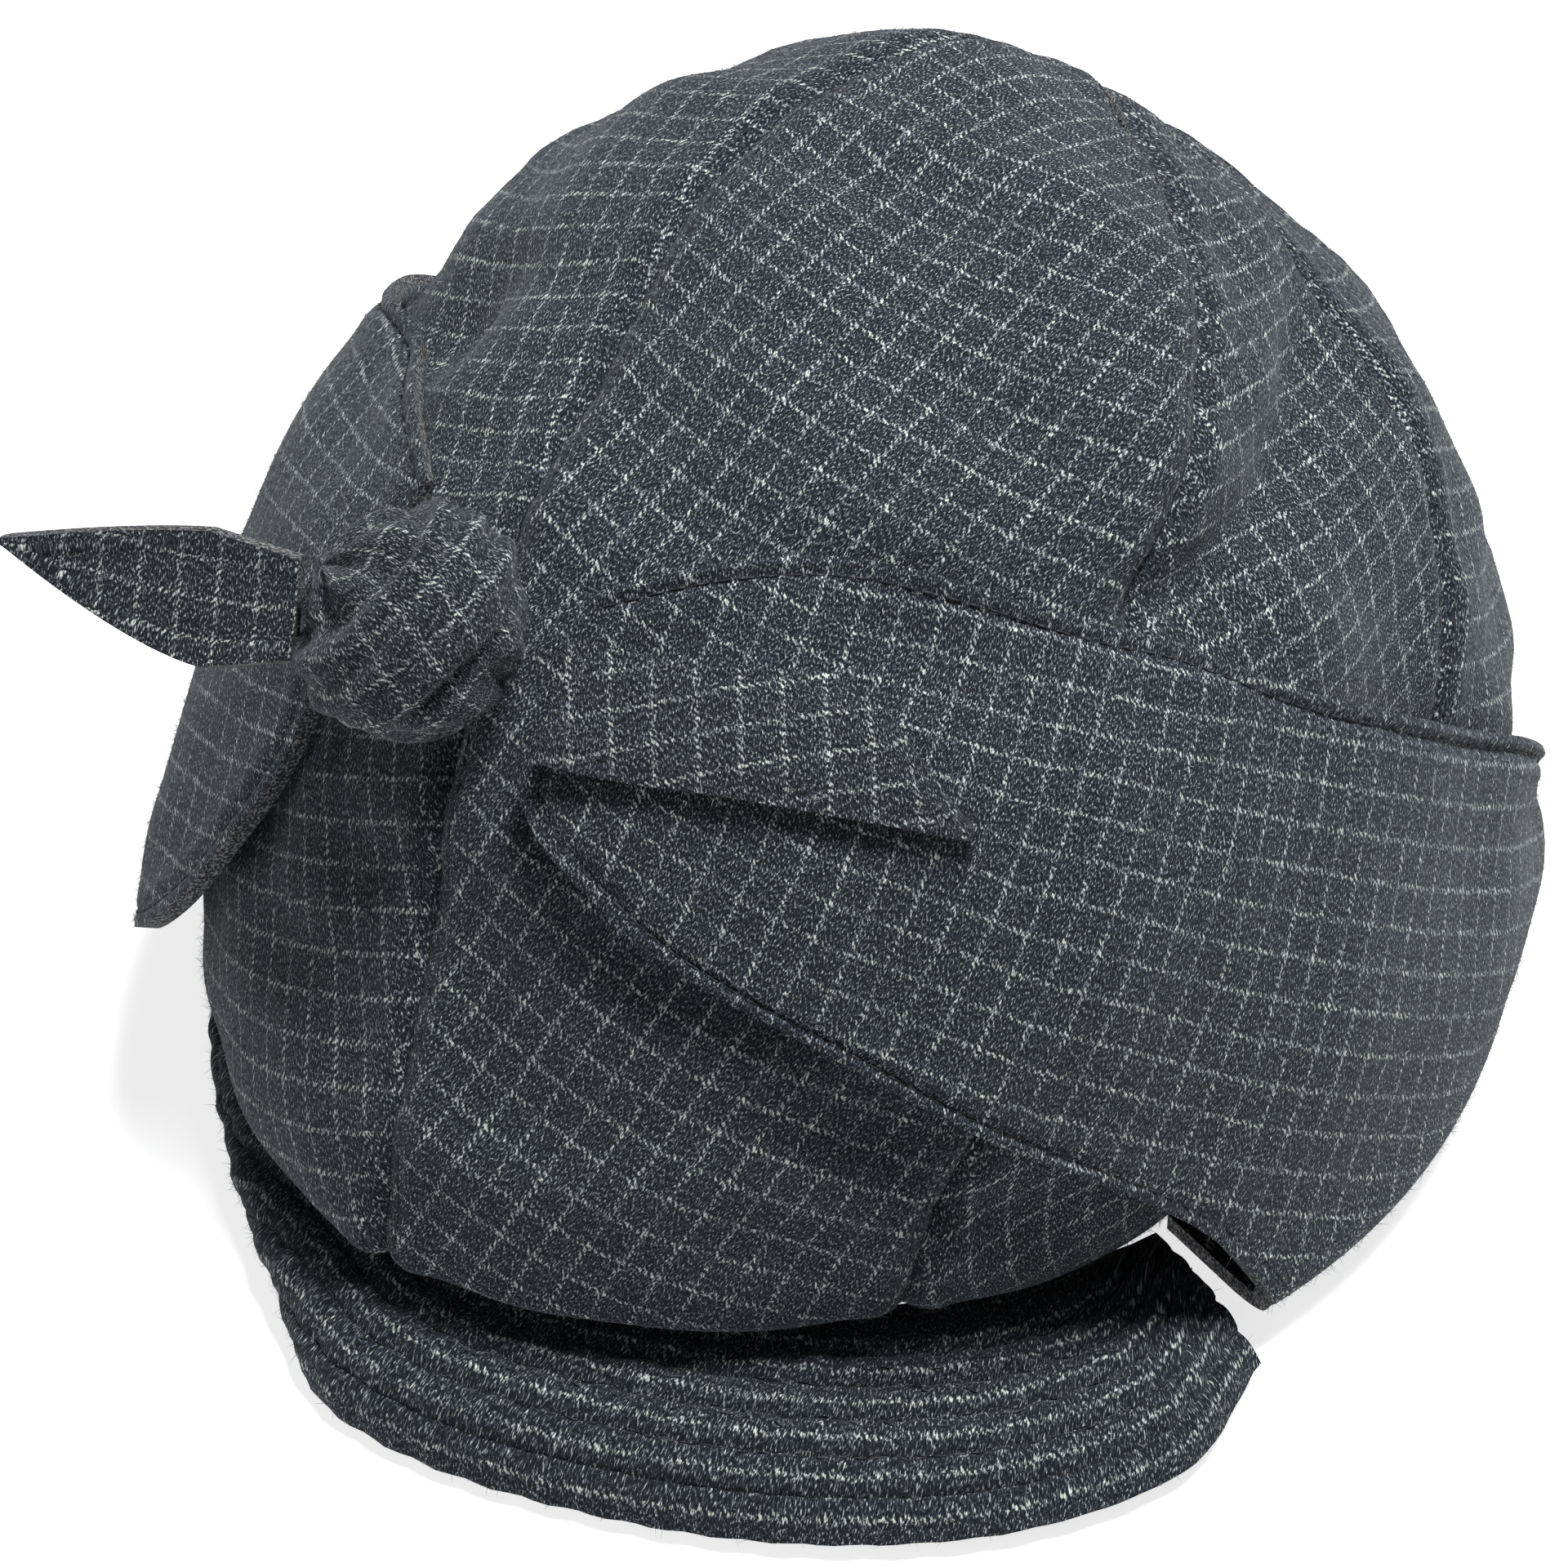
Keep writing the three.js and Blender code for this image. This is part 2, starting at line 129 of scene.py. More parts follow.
def columns(names: tuple[str, ...], rows: tuple) -> dict[str, np.ndarray]:
    """Turns a table of rows into one array for each named column.

    Args:
        names: The columns' names.
        rows: The table, a tuple for each row.

    Returns:
        The columns by name.
    """
    table = np.array(rows, float)
    return {name: table[:, k] for k, name in enumerate(names)}


def read_column(values: np.ndarray, place: np.ndarray) -> np.ndarray:
    """Reads smooth values between the rows of a column.

    Args:
        values: One value for each row.
        place: Where to read, from 0 at the first row to 1 at the last.

    Returns:
        The smooth values, in the shape of place.
    """
    last = len(values) - 1
    spot = np.clip(place, 0, 1) * last
    start = np.minimum(np.floor(spot).astype(int), last - 1)
    share = spot - start
    before, low, high, after = (values[np.clip(start + step, 0, last)] for step in (-1, 0, 1, 2))
    bend = share * (3 * (low - high) + after - before)
    slope = high - before + share * (2 * before - 5 * low + 4 * high - after + bend)
    return low + 0.5 * share * slope


def unit(vectors: np.ndarray) -> np.ndarray:
    """Scales vectors to length one."""
    length = np.linalg.norm(vectors, axis=-1, keepdims=True)
    return vectors / np.maximum(length, 1e-9)


def running_length(points: np.ndarray, axis: int) -> np.ndarray:
    """Length along a grid of points from its first row or column.

    Args:
        points: A grid of points.
        axis: 0 to run over the rows, 1 over the columns.

    Returns:
        The running length at each point.
    """
    steps = np.linalg.norm(np.diff(points, axis=axis), axis=-1)
    pad = [(0, 0), (0, 0)]
    pad[axis] = (1, 0)
    return np.cumsum(np.pad(steps, pad), axis=axis)


def bump(distance: np.ndarray, width: float) -> np.ndarray:
    """A rounded bump of height one at distance zero."""
    return np.exp(-((distance / width) ** 2))


def ridges(distance: np.ndarray, *rows: tuple[float, float, float]) -> np.ndarray:
    """Sum of bumps along a distance, from rows of height, place and width."""
    return sum(height * bump(distance - place, width) for height, place, width in rows)


def add_item(name: str, data: bpy.types.ID) -> bpy.types.Object:
    """Puts an object with its data into the scene."""
    item = bpy.data.objects.new(name, data)
    bpy.context.scene.collection.objects.link(item)
    return item


def finish_mesh(name: str, work: bmesh.types.BMesh, smooth: bool = False) -> bpy.types.Mesh:
    """Turns a bmesh into a named mesh and frees it."""
    data = bpy.data.meshes.new(name)
    work.to_mesh(data)
    work.free()
    if smooth:
        data.shade_smooth()
    return data


@dataclass(frozen=True)
class Rumple:
    """Soft unevenness of worn cloth, as a sum of long slanting waves."""

    depth: float = 0.95
    longest: float = 70.0
    waves: int = 9
    seed: int = 7
    shortening: float = 0.45

    def at(self, points: np.ndarray) -> np.ndarray:
        """How far the cloth stands out of its smooth form at each point."""
        draw = np.random.default_rng(self.seed)
        total = np.zeros(points.shape[:-1])
        for number in range(self.waves):
            heading = unit(draw.normal(size=3))
            length = self.longest / (1 + self.shortening * number)
            turn = draw.uniform(0, 2 * math.pi)
            share = length / self.longest
            total += share * np.sin(points @ heading * 2 * math.pi / length + turn)
        return self.depth * total


@dataclass(frozen=True)
class CrownForm:
    """The crown's outer face, as the part's source has it."""

    half_width: float = 93.0
    half_length: float = 106.0
    height: float = 128.0
    belly: float = 22.0
    squareness: float = 2.4
    rim_share: float = 0.89
    tuck_power: float = 2.2
    slump_back: float = 28.0
    slump_side: float = -15.0
    slump_power: float = 2.5
    bulge_forward: float = 13.0
    bulge_height: float = 0.2
    bulge_spread: float = 0.2
    rim_front: float = 15.0
    rim_side: float = 4.1
    rim_power: float = 1.5
    rest_half: float = 9.0
    rest_ramp: float = 30.0
    pole_lean: float = 40.0
    pole_turn: float = -12.0
    pole_hole: float = 0.006
    near_rim: float = 6.0
    dent_fade: float = 3.0
    dent_drop: float = 0.5
    step: float = 0.02

    def rim_height(self, angle: np.ndarray) -> np.ndarray:
        """Height of the rim above the table at an angle from the front."""
        facing = np.cos(angle)
        ahead = np.maximum(facing, 0) ** self.rim_power
        front = self.rim_side + (self.rim_front - self.rim_side) * ahead
        from_back = np.degrees(math.pi - np.arccos(np.clip(facing, -1, 1)))
        back = self.rim_side * np.clip((from_back - self.rest_half) / self.rest_ramp, 0, 1)
        return np.where(facing >= 0, front, back)

    def dent_depth(self, angle: np.ndarray, height: np.ndarray, table: tuple) -> np.ndarray:
        """How deep the crown's soft dents are.

        Args:
            angle: Angle from the front, in radians.
            height: Height above the table.
            table: The dents, a row for each.

        Returns:
            The depth at each place.
        """
        depth = np.zeros(np.broadcast(angle, height).shape)
        dents = columns(DENT_PARAMETERS, table)
        for k in range(len(table)):
            turn = (angle - math.radians(dents["azimuth"][k]) + math.pi) % (2 * math.pi) - math.pi
            across = turn / math.radians(dents["wide"][k])
            up = (height - dents["height"][k]) / dents["tall"][k]
            depth = depth + dents["depth"][k] * np.exp(-across * across - up * up)
        return depth

    def dome(self, angle: np.ndarray, lift: np.ndarray, creased: bool = False) -> np.ndarray:
        """Points of the crown's outer face.

        Args:
            angle: Angle from the front, in radians.
            lift: From -1 at the rim over 0 at the belly to a quarter turn at the top.
            creased: True to add the worn cloth's narrow creases.

        Returns:
            The points, in millimetres.
        """
        angle, lift = np.broadcast_arrays(np.asarray(angle, float), np.asarray(lift, float))
        rim = self.rim_height(angle)
        power = 2 / self.squareness
        above = np.clip(lift, 0, math.pi / 2)
        below = np.clip(-lift, 0, 1)
        dome_height = self.belly + (self.height - self.belly) * np.sin(above) ** power
        tuck_height = self.belly - (self.belly - rim) * below
        dome_share = np.maximum(np.cos(above), 0) ** power
        tuck_share = 1 - (1 - self.rim_share) * below**self.tuck_power
        height = np.where(lift >= 0, dome_height, tuck_height)
        share = np.where(lift >= 0, dome_share, tuck_share)
        tall = height / self.height
        band = (tall - self.bulge_height) / self.bulge_spread
        bulge = self.bulge_forward * np.maximum(0, np.cos(angle)) ** 2 * np.exp(-band * band)
        slump = tall**self.slump_power
        table = CROWN_DENTS + CROWN_CREASES if creased else CROWN_DENTS
        dent = self.dent_depth(angle, height, table) * np.minimum(1, self.dent_fade * share)
        x = (self.half_width * share - dent) * np.sin(angle) + self.slump_side * slump
        y = -(self.half_length * share + bulge - dent) * np.cos(angle) + self.slump_back * slump
        return np.stack([x, y, height - self.dent_drop * dent * np.minimum(1, tall)], axis=-1)

    def lift_at(self, angle: np.ndarray, height: np.ndarray) -> np.ndarray:
        """The lift that gives a height above the table."""
        below = np.maximum(-1, (height - self.belly) / (self.belly - self.rim_height(angle)))
        rise = np.clip((height - self.belly) / (self.height - self.belly), 0, 1)
        return np.where(height < self.belly, below, np.arcsin(rise ** (self.squareness / 2)))

    def beside(self, angle: np.ndarray, height: np.ndarray, out: np.ndarray) -> np.ndarray:
        """Points held out from the crown.

        Args:
            angle: Angle from the front, in radians.
            height: Height above the table.
            out: Distance from the crown's outer face.

        Returns:
            The points, in millimetres.
        """
        angle, height, out = np.broadcast_arrays(
            np.asarray(angle, float), np.asarray(height, float), np.asarray(out, float)
        )
        lift = self.lift_at(angle, height)
        foot = self.dome(angle, lift)
        along = self.dome(angle + self.step, lift) - self.dome(angle - self.step, lift)
        up = self.dome(angle, lift + self.step) - foot
        normal = unit(np.cross(along, up))
        level = np.stack([np.sin(angle), -np.cos(angle), np.zeros_like(angle)], axis=-1)
        near = np.clip((self.belly + self.near_rim - height) / (2 * self.near_rim), 0, 1)
        normal = unit(normal + (level - normal) * near[..., None])
        points = foot + normal * out[..., None]
        points[..., 2] += (height - points[..., 2]) * near
        return points

    def gore(self, angle: np.ndarray, rise: np.ndarray) -> np.ndarray:
        """Points of the crown laid out by its gores.

        Args:
            angle: Angle of the gore line's foot, in radians.
            rise: From -1 at the rim over 0 at the belly to 1 where the seams meet.

        Returns:
            The points, in millimetres.
        """
        angle, rise = np.broadcast_arrays(np.asarray(angle, float), np.asarray(rise, float))
        lean, turn = math.radians(self.pole_lean), math.radians(self.pole_turn)
        pole = np.array(
            [math.sin(lean) * math.sin(turn), math.sin(lean) * math.cos(turn), math.cos(lean)]
        )
        foot = np.stack([np.sin(angle), -np.cos(angle), np.zeros_like(angle)], axis=-1)
        span = np.arccos(np.clip(foot @ pole, -1, 1))
        turned = np.maximum(rise, 0) * (span - self.pole_hole)
        near = (np.sin(span - turned) / np.sin(span))[..., None]
        far = (np.sin(turned) / np.sin(span))[..., None]
        heading = foot * near + pole * far
        round_angle = np.arctan2(heading[..., 0], -heading[..., 1])
        lift = np.arcsin(np.clip(heading[..., 2], 0, 1))
        upper = self.dome(round_angle, lift, creased=True)
        lower = self.dome(angle, np.minimum(rise, 0), creased=True)
        return np.where((rise < 0)[..., None], lower, upper)


CROWN = CrownForm()


@dataclass
class Cloth:
    """A grid of points on a piece of cloth, rows by columns, with its place on the flat cloth."""

    points: np.ndarray
    flat: np.ndarray
    outward: int = 1

    def normals(self) -> np.ndarray:
        """Unit normals on the side that faces out."""
        along = np.gradient(self.points, axis=1)
        up = np.gradient(self.points, axis=0)
        return self.outward * unit(np.cross(along, up))

    def swell(self, depth: np.ndarray) -> "Cloth":
        """Moves the cloth out along its normals by a depth at each point."""
        return Cloth(self.points + self.normals() * depth[..., None], self.flat, self.outward)

    def turned(self, degrees: float, mirrored: bool = False) -> "Cloth":
        turn = math.radians(degrees)
        x = -self.flat[..., 0] if mirrored else self.flat[..., 0]
        y = self.flat[..., 1]
        across = x * math.cos(turn) - y * math.sin(turn)
        up = x * math.sin(turn) + y * math.cos(turn)
        return Cloth(self.points, np.stack([across, up], axis=-1), self.outward)

    def cell_areas(self) -> np.ndarray:
        """Area of each cell of the grid, in square millimetres."""
        points = self.points
        sides = np.cross(points[1:, :-1] - points[:-1, :-1], points[:-1, 1:] - points[:-1, :-1])
        return np.linalg.norm(sides, axis=-1)

    def cut_size(self) -> tuple[tuple[float, float], float]:
        """Width, length and area of the cloth laid flat, in metres and square metres."""
        area = float(self.cell_areas().sum()) * MM * MM
        width = float(running_length(self.points, 1)[:, -1].max()) * MM
        length = float(running_length(self.points, 0)[-1].max()) * MM
        return (width, length), area

    def trace(
        self, run: np.ndarray, wanted: np.ndarray, lines: Iterable[int], axis: int = 1
    ) -> tuple[np.ndarray, np.ndarray]:
        """Finds where rows or columns of the cloth reach a length.

        Args:
            run: The running length over the grid.
            wanted: The length to find in each row or column.
            lines: The rows or columns to read.
            axis: 1 to read along rows, 0 along columns.

        Returns:
            The points and the unit normals, one for each line.
        """
        grids = [self.points, self.normals()]
        if axis == 0:
            grids, run = [grid.swapaxes(0, 1) for grid in grids], run.T
        spots = [
            [np.interp(wanted[line], run[line], grid[line, :, k]) for k in range(3)]
            for grid in grids
            for line in lines
        ]
        points, normals = np.array(spots).reshape(2, -1, 3)
        return points, unit(normals)

    def mesh(self, name: str, wraps: bool = False) -> bpy.types.Object:
        """Makes the mesh object of the cloth's outer face.

        Args:
            name: The object's name.
            wraps: True where the last column meets the first.

        Returns:
            The object, at the origin, in metres.
        """
        rows, across = self.points.shape[:2]
        work = bmesh.new()
        bmesh.ops.create_grid(work, x_segments=across - 1, y_segments=rows - 1, size=1)
        layer = work.loops.layers.uv.new(CLOTH_UV)
        place = {}
        for vertex in work.verts:
            column = round((vertex.co.x + 1) / 2 * (across - 1))
            row = round((vertex.co.y + 1) / 2 * (rows - 1))
            place[vertex] = (row, column)
        for face in work.faces:
            for loop in face.loops:
                loop[layer].uv = self.flat[place[loop.vert]] / CHECK_REPEAT
        shifted = self.points + SHIFT
        shifted[..., 2] = np.maximum(shifted[..., 2], FLOOR_GAP)
        for vertex, spot in place.items():
            vertex.co = Vector(shifted[spot]) * MM
        if self.outward < 0:
            bmesh.ops.reverse_faces(work, faces=work.faces)
        if wraps:
            bmesh.ops.remove_doubles(work, verts=work.verts, dist=MERGE_WITHIN * MM)
        return add_item(name, finish_mesh(name, work, smooth=True))


def find_shift() -> np.ndarray:
    """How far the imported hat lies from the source's own origin, from the fourth gore's corner."""
    angle = np.linspace(math.radians(135), math.pi, 6)[None, :]
    rise = np.linspace(-1, 1, 61)[:, None]
    points = CROWN.gore(angle, rise)
    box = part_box("crown_panel_4")
    return np.array([box[1].x / MM - points[..., 0].max(), box[1].y / MM - points[..., 1].max(), 0.0])


SHIFT = find_shift()


def give_wall(item: bpy.types.Object, wall: float, offset: float = -1, edge: float = 0.0) -> None:
    """Gives cloth its thickness and rounds its cut edges.

    Args:
        item: The cloth's object.
        wall: Thickness in millimetres.
        offset: -1 to grow inward, 0 to both sides.
        edge: Radius of the cut edges in millimetres.
    """
    solid = item.modifiers.new("wall", "SOLIDIFY")
    solid.thickness = wall * MM
    solid.offset = offset
    solid.use_even_offset = False
    if edge > 0:
        rounded = item.modifiers.new("edge", "BEVEL")
        rounded.width = edge * MM
        rounded.segments = EDGE_STEPS
        rounded.limit_method = "ANGLE"
        rounded.angle_limit = math.radians(EDGE_ANGLE)
        rounded.use_clamp_overlap = True


def strew(name: str, shape: bpy.types.Mesh, centres: np.ndarray, axes: np.ndarray) -> bpy.types.Object:
    """Joins many turned copies of a small shape into one mesh.

    Args:
        name: The object's name.
        shape: The small shape, in units of its own axes.
        centres: A centre for each copy, in millimetres.
        axes: Three axis vectors for each copy, in millimetres.

    Returns:
        The object, at the origin, in metres.
    """
    carrier = add_item(name, shape)
    copies = carrier.modifiers.new("copies", "ARRAY")
    copies.fit_type = "FIXED_COUNT"
    copies.count = len(centres)
    copies.use_relative_offset = False
    copies.use_constant_offset = True
    copies.constant_offset_displace = (0, 0, 0)
    graph = bpy.context.evaluated_depsgraph_get()
    data = bpy.data.meshes.new_from_object(carrier.evaluated_get(graph))
    bpy.data.objects.remove(carrier)
    corners = np.array([vertex.co for vertex in shape.vertices])
    placed = centres[:, None, :] + corners[None] @ axes + SHIFT
    placed[..., 2] = np.maximum(placed[..., 2], 0)
    data.vertices.foreach_set("co", (placed * MM).reshape(-1).astype(np.float32))
    data.update()
    data.name = name
    return add_item(name, data)


def fibre_shape() -> bpy.types.Mesh:
    """A pointed fibre of length one along Z, a few faces round."""
    work = bmesh.new()
    bmesh.ops.create_cone(
        work, cap_ends=True, cap_tris=True, segments=3, radius1=1, radius2=0, depth=1
    )
    bmesh.ops.translate(work, verts=work.verts, vec=(0, 0, 0.5))
    return finish_mesh("fibre", work)


def stitch_shape() -> bpy.types.Mesh:
    """A rounded stitch of thread, length two along X and radius one."""
    work = bmesh.new()
    bmesh.ops.create_uvsphere(work, u_segments=6, v_segments=4, radius=1)
    bmesh.ops.rotate(
        work, verts=work.verts, cent=(0, 0, 0), matrix=Matrix.Rotation(math.pi / 2, 3, "Y")
    )
    return finish_mesh("stitch", work, smooth=True)


@dataclass(frozen=True)
class Nap:
    """The brushed wool's fibres that stand off the cloth."""

    density: float = 0.56
    shortest: float = 0.8
    longest: float = 2.8
    radius: float = 0.045
    upright: float = 1.1
    least_lean: float = 0.05
    root_depth: float = 0.1
    seed: int = 21

    def grow(self, name: str, cloth: Cloth) -> bpy.types.Object:
        """Grows the nap on a piece of cloth.

        Args:
            name: The nap's object name.
            cloth: The cloth that it grows on.

        Returns:
            The nap's object.
        """
        draw = np.random.default_rng(self.seed + len(name))
        points, normals = cloth.points, cloth.normals()
        areas = cloth.cell_areas()
        count = int(areas.sum() * self.density)
        cell = draw.choice(areas.size, size=count, p=(areas / areas.sum()).ravel())
        row, column = np.unravel_index(cell, areas.shape)
        down, along = draw.random((2, count, 1))
        low = points[row, column] * (1 - along) + points[row, column + 1] * along
        high = points[row + 1, column] * (1 - along) + points[row + 1, column + 1] * along
        centres = low * (1 - down) + high * down
        normal = normals[row, column]
        loose = unit(np.cross(normal, draw.normal(size=(count, 3))))
        heading = unit(loose + normal * draw.uniform(self.least_lean, self.upright, (count, 1)))
        across = unit(np.cross(heading, normal))
        length = self.shortest + (self.longest - self.shortest) * draw.random((count, 1)) ** 2
        axes = np.stack(
            [across * self.radius, np.cross(heading, across) * self.radius, heading * length], axis=1
        )
        return strew(name, fibre_shape(), centres - normal * self.root_depth, axes)


@dataclass(frozen=True)
class Topstitch:
    """A row of stitches in strong thread."""

    pitch: float = 3.3
    length: float = 2.5
    radius: float = 0.2
    proud: float = 0.4

    def sew(self, name: str, lines: list[Line]) -> bpy.types.Object:
        """Sews stitches along lines.

        Args:
            name: The stitches' object name.
            lines: Points and normals of each line.

        Returns:
            The stitches' object.
        """
        centres, axes = [], []
        for points, normals in lines:
            run = running_length(points[None], 1)[0]
            places = np.arange(self.pitch / 2, run[-1], self.pitch)
            ahead = [np.interp(places + self.length / 2, run, points[:, k]) for k in range(3)]
            behind = [np.interp(places - self.length / 2, run, points[:, k]) for k in range(3)]
            normal = unit(np.stack([np.interp(places, run, normals[:, k]) for k in range(3)], axis=-1))
            ahead, behind = np.stack(ahead, axis=-1), np.stack(behind, axis=-1)
            heading = unit(ahead - behind)
            side = unit(np.cross(normal, heading))
            up = np.cross(heading, side)
            centres.append((ahead + behind) / 2 + up * self.radius * self.proud)
            axes.append(
                np.stack([heading * self.length / 2, side * self.radius, up * self.radius], axis=1)
            )
        return strew(name, stitch_shape(), np.concatenate(centres), np.concatenate(axes))


class NodeBench:
    """Short helpers for building a material's nodes."""

    def __init__(self, name: str) -> None:
        """Starts an empty material with a shader."""
        self.material = bpy.data.materials.new(name)
        self.material.use_nodes = True
        self.nodes = self.material.node_tree.nodes
        self.links = self.material.node_tree.links
        self.shader = self.nodes["Principled BSDF"]

    def link(self, source: Socket, target: Socket) -> None:
        """Links one socket to another."""
        self.links.new(source, target)

    def settle(self, values: dict[str, object]) -> None:
        """Sets the shader's own sockets."""
        for name, value in values.items():
            self.shader.inputs[name].default_value = value

    def math(self, kind: str, first: object, second: object = 0.0) -> Socket:
        """A math node of two values, each a socket or a number."""
        node = self.nodes.new("ShaderNodeMath")
        node.operation = kind
        for place, value in enumerate((first, second)):
            if isinstance(value, Socket):
                self.link(value, node.inputs[place])
            else:
                node.inputs[place].default_value = value
        return node.outputs[0]

    def ramp(
        self, value: Socket, start: float, end: float, low: float = 0.0, high: float = 1.0
    ) -> Socket:
        """A smooth change from low to high while the value runs from start to end."""
        node = self.nodes.new("ShaderNodeMapRange")
        node.interpolation_type = "SMOOTHSTEP"
        self.link(value, node.inputs["Value"])
        limits = {"From Min": start, "From Max": end, "To Min": low, "To Max": high}
        for name, limit in limits.items():
            node.inputs[name].default_value = limit
        return node.outputs["Result"]

    def noise(self, place: Socket, scale: float, detail: float) -> Socket:
        """A noise value at a place."""
        node = self.nodes.new("ShaderNodeTexNoise")
        self.link(place, node.inputs["Vector"])
        node.inputs["Scale"].default_value = scale
        node.inputs["Detail"].default_value = detail
        node.inputs["Roughness"].default_value = 0.6
        return node.outputs["Fac"]

    def stretched(self, place: Socket, turn: float, scale: tuple) -> Socket:
        """A place turned and stretched by a Mapping node."""
        node = self.nodes.new("ShaderNodeMapping")
        self.link(place, node.inputs["Vector"])
        node.inputs["Rotation"].default_value = (0, 0, math.radians(turn))
        node.inputs["Scale"].default_value = scale
        return node.outputs["Vector"]

    def blend(self, share: Socket, first: object, second: object) -> Socket:
        """A mix of two colours, each a socket or a colour."""
        node = self.nodes.new("ShaderNodeMix")
        node.data_type = "RGBA"
        self.link(share, node.inputs["Factor"])
        for name, value in (("A", first), ("B", second)):
            socket = next(s for s in node.inputs if s.name == name and s.type == "RGBA")
            if isinstance(value, Socket):
                self.link(value, socket)
            else:
                socket.default_value = (*value, 1)
        return next(s for s in node.outputs if s.type == "RGBA")


@dataclass(frozen=True)
class WoolCheck:
    """Brushed charcoal wool with a small check of broken pale threads."""

    name: str = "wool_check"
    dark: tuple = (0.0025, 0.0035, 0.0055)
    grey: tuple = (0.046, 0.057, 0.079)
    thread: tuple = (0.43, 0.45, 0.42)
    line_half: float = 0.1
    line_lift: float = 0.15
    first_lines: float = 1.0
    twill: float = 38.0
    line_core: float = 0.3
    fleck_scale: tuple = (23, 9.5, 1)
    dashes: float = 5.0
    wander: float = 0.2
    crossing: float = 0.45
    line_relief: float = 0.3
    wander_noise: tuple = (2.3, 2)
    wear_noise: tuple = (1.7, 3)
    fleck_noise: tuple = (1.0, 2)
    cloud_noise: tuple = (1.1, 3)
    dash_range: tuple = (-0.7, 0.5)
    wear_range: tuple = (0.3, 0.62, 0.3, 1.0)
    grey_range: tuple = (0.45, 0.66)
    cloud_range: tuple = (0.3, 0.8, 0.0, 0.35)
    thread_range: tuple = (0.56, 0.78)

    def make(self) -> bpy.types.Material:
        """Builds the material on the cloth's own UV map, a unit to each check."""
        bench = NodeBench(self.name)
        uv = bench.nodes.new("ShaderNodeUVMap")
        uv.uv_map = CLOTH_UV
        place = uv.outputs["UV"]
        split = bench.nodes.new("ShaderNodeSeparateXYZ")
        bench.link(place, split.inputs[0])
        uneven = bench.math("SUBTRACT", bench.noise(place, *self.wander_noise), 0.5)
        wander = bench.math("MULTIPLY", uneven, self.wander)
        x = bench.math("ADD", split.outputs["X"], wander)
        y = bench.math("ADD", split.outputs["Y"], wander)
        slant = bench.math("ADD", x, y)
        dash_wave = bench.math("SINE", bench.math("MULTIPLY", slant, 2 * math.pi * self.dashes))
        dash = bench.ramp(dash_wave, *self.dash_range)
        worn = bench.ramp(bench.noise(place, *self.wear_noise), *self.wear_range)
        core = self.line_half * self.line_core
        lines = [
            bench.ramp(bench.math("PINGPONG", value, 0.5), self.line_half, core) for value in (x, y)
        ]
        first = bench.math("MULTIPLY", lines[0], self.first_lines)
        both = bench.math("MAXIMUM", first, lines[1])
        crossing = bench.math("MULTIPLY", bench.math("MULTIPLY", lines[0], lines[1]), self.crossing)
        broken = bench.math("ADD", bench.math("MULTIPLY", both, dash), crossing)
        mask = bench.math("MULTIPLY", broken, worn)
        fleck = bench.noise(bench.stretched(place, self.twill, self.fleck_scale), *self.fleck_noise)
        cloud = bench.noise(place, *self.cloud_noise)
        lifted = bench.math("ADD", fleck, bench.math("MULTIPLY", mask, self.line_lift))
        colour = bench.blend(bench.ramp(lifted, *self.grey_range), self.dark, self.grey)
        colour = bench.blend(bench.ramp(cloud, *self.cloud_range), colour, self.dark)
        colour = bench.blend(bench.ramp(lifted, *self.thread_range), colour, self.thread)
        bench.link(colour, bench.shader.inputs["Base Color"])
        height = bench.math("ADD", fleck, bench.math("MULTIPLY", mask, self.line_relief))
        relief = bench.nodes.new("ShaderNodeBump")
        relief.inputs["Strength"].default_value = 0.55
        relief.inputs["Distance"].default_value = 0.25 * MM
        bench.link(height, relief.inputs["Height"])
        bench.link(relief.outputs["Normal"], bench.shader.inputs["Normal"])
        bench.settle({"Roughness": 0.95, "Specular IOR Level": 0.15, "Sheen Weight": 0.06})
        bench.settle({"Sheen Roughness": 0.6, "Sheen Tint": (0.75, 0.82, 0.95, 1)})
        return bench.material


@dataclass(frozen=True)
class Fibre:
    """Loose wool fibres or sewing thread, in shades from dark to pale."""

    name: str
    dark: tuple = (0.012, 0.013, 0.017)
    pale: tuple = (0.24, 0.25, 0.27)
    spot_scale: float = 900.0
    shade_range: tuple = (0.42, 0.75)

    def make(self) -> bpy.types.Material:
        """Builds the material on Object coordinates."""
        bench = NodeBench(self.name)
        where = bench.nodes.new("ShaderNodeTexCoord").outputs["Object"]
        shade = bench.ramp(bench.noise(where, self.spot_scale, 1), *self.shade_range)
        colour = bench.blend(shade, self.dark, self.pale)
        bench.link(colour, bench.shader.inputs["Base Color"])
        bench.settle({"Roughness": 0.9, "Specular IOR Level": 0.2})
        return bench.material


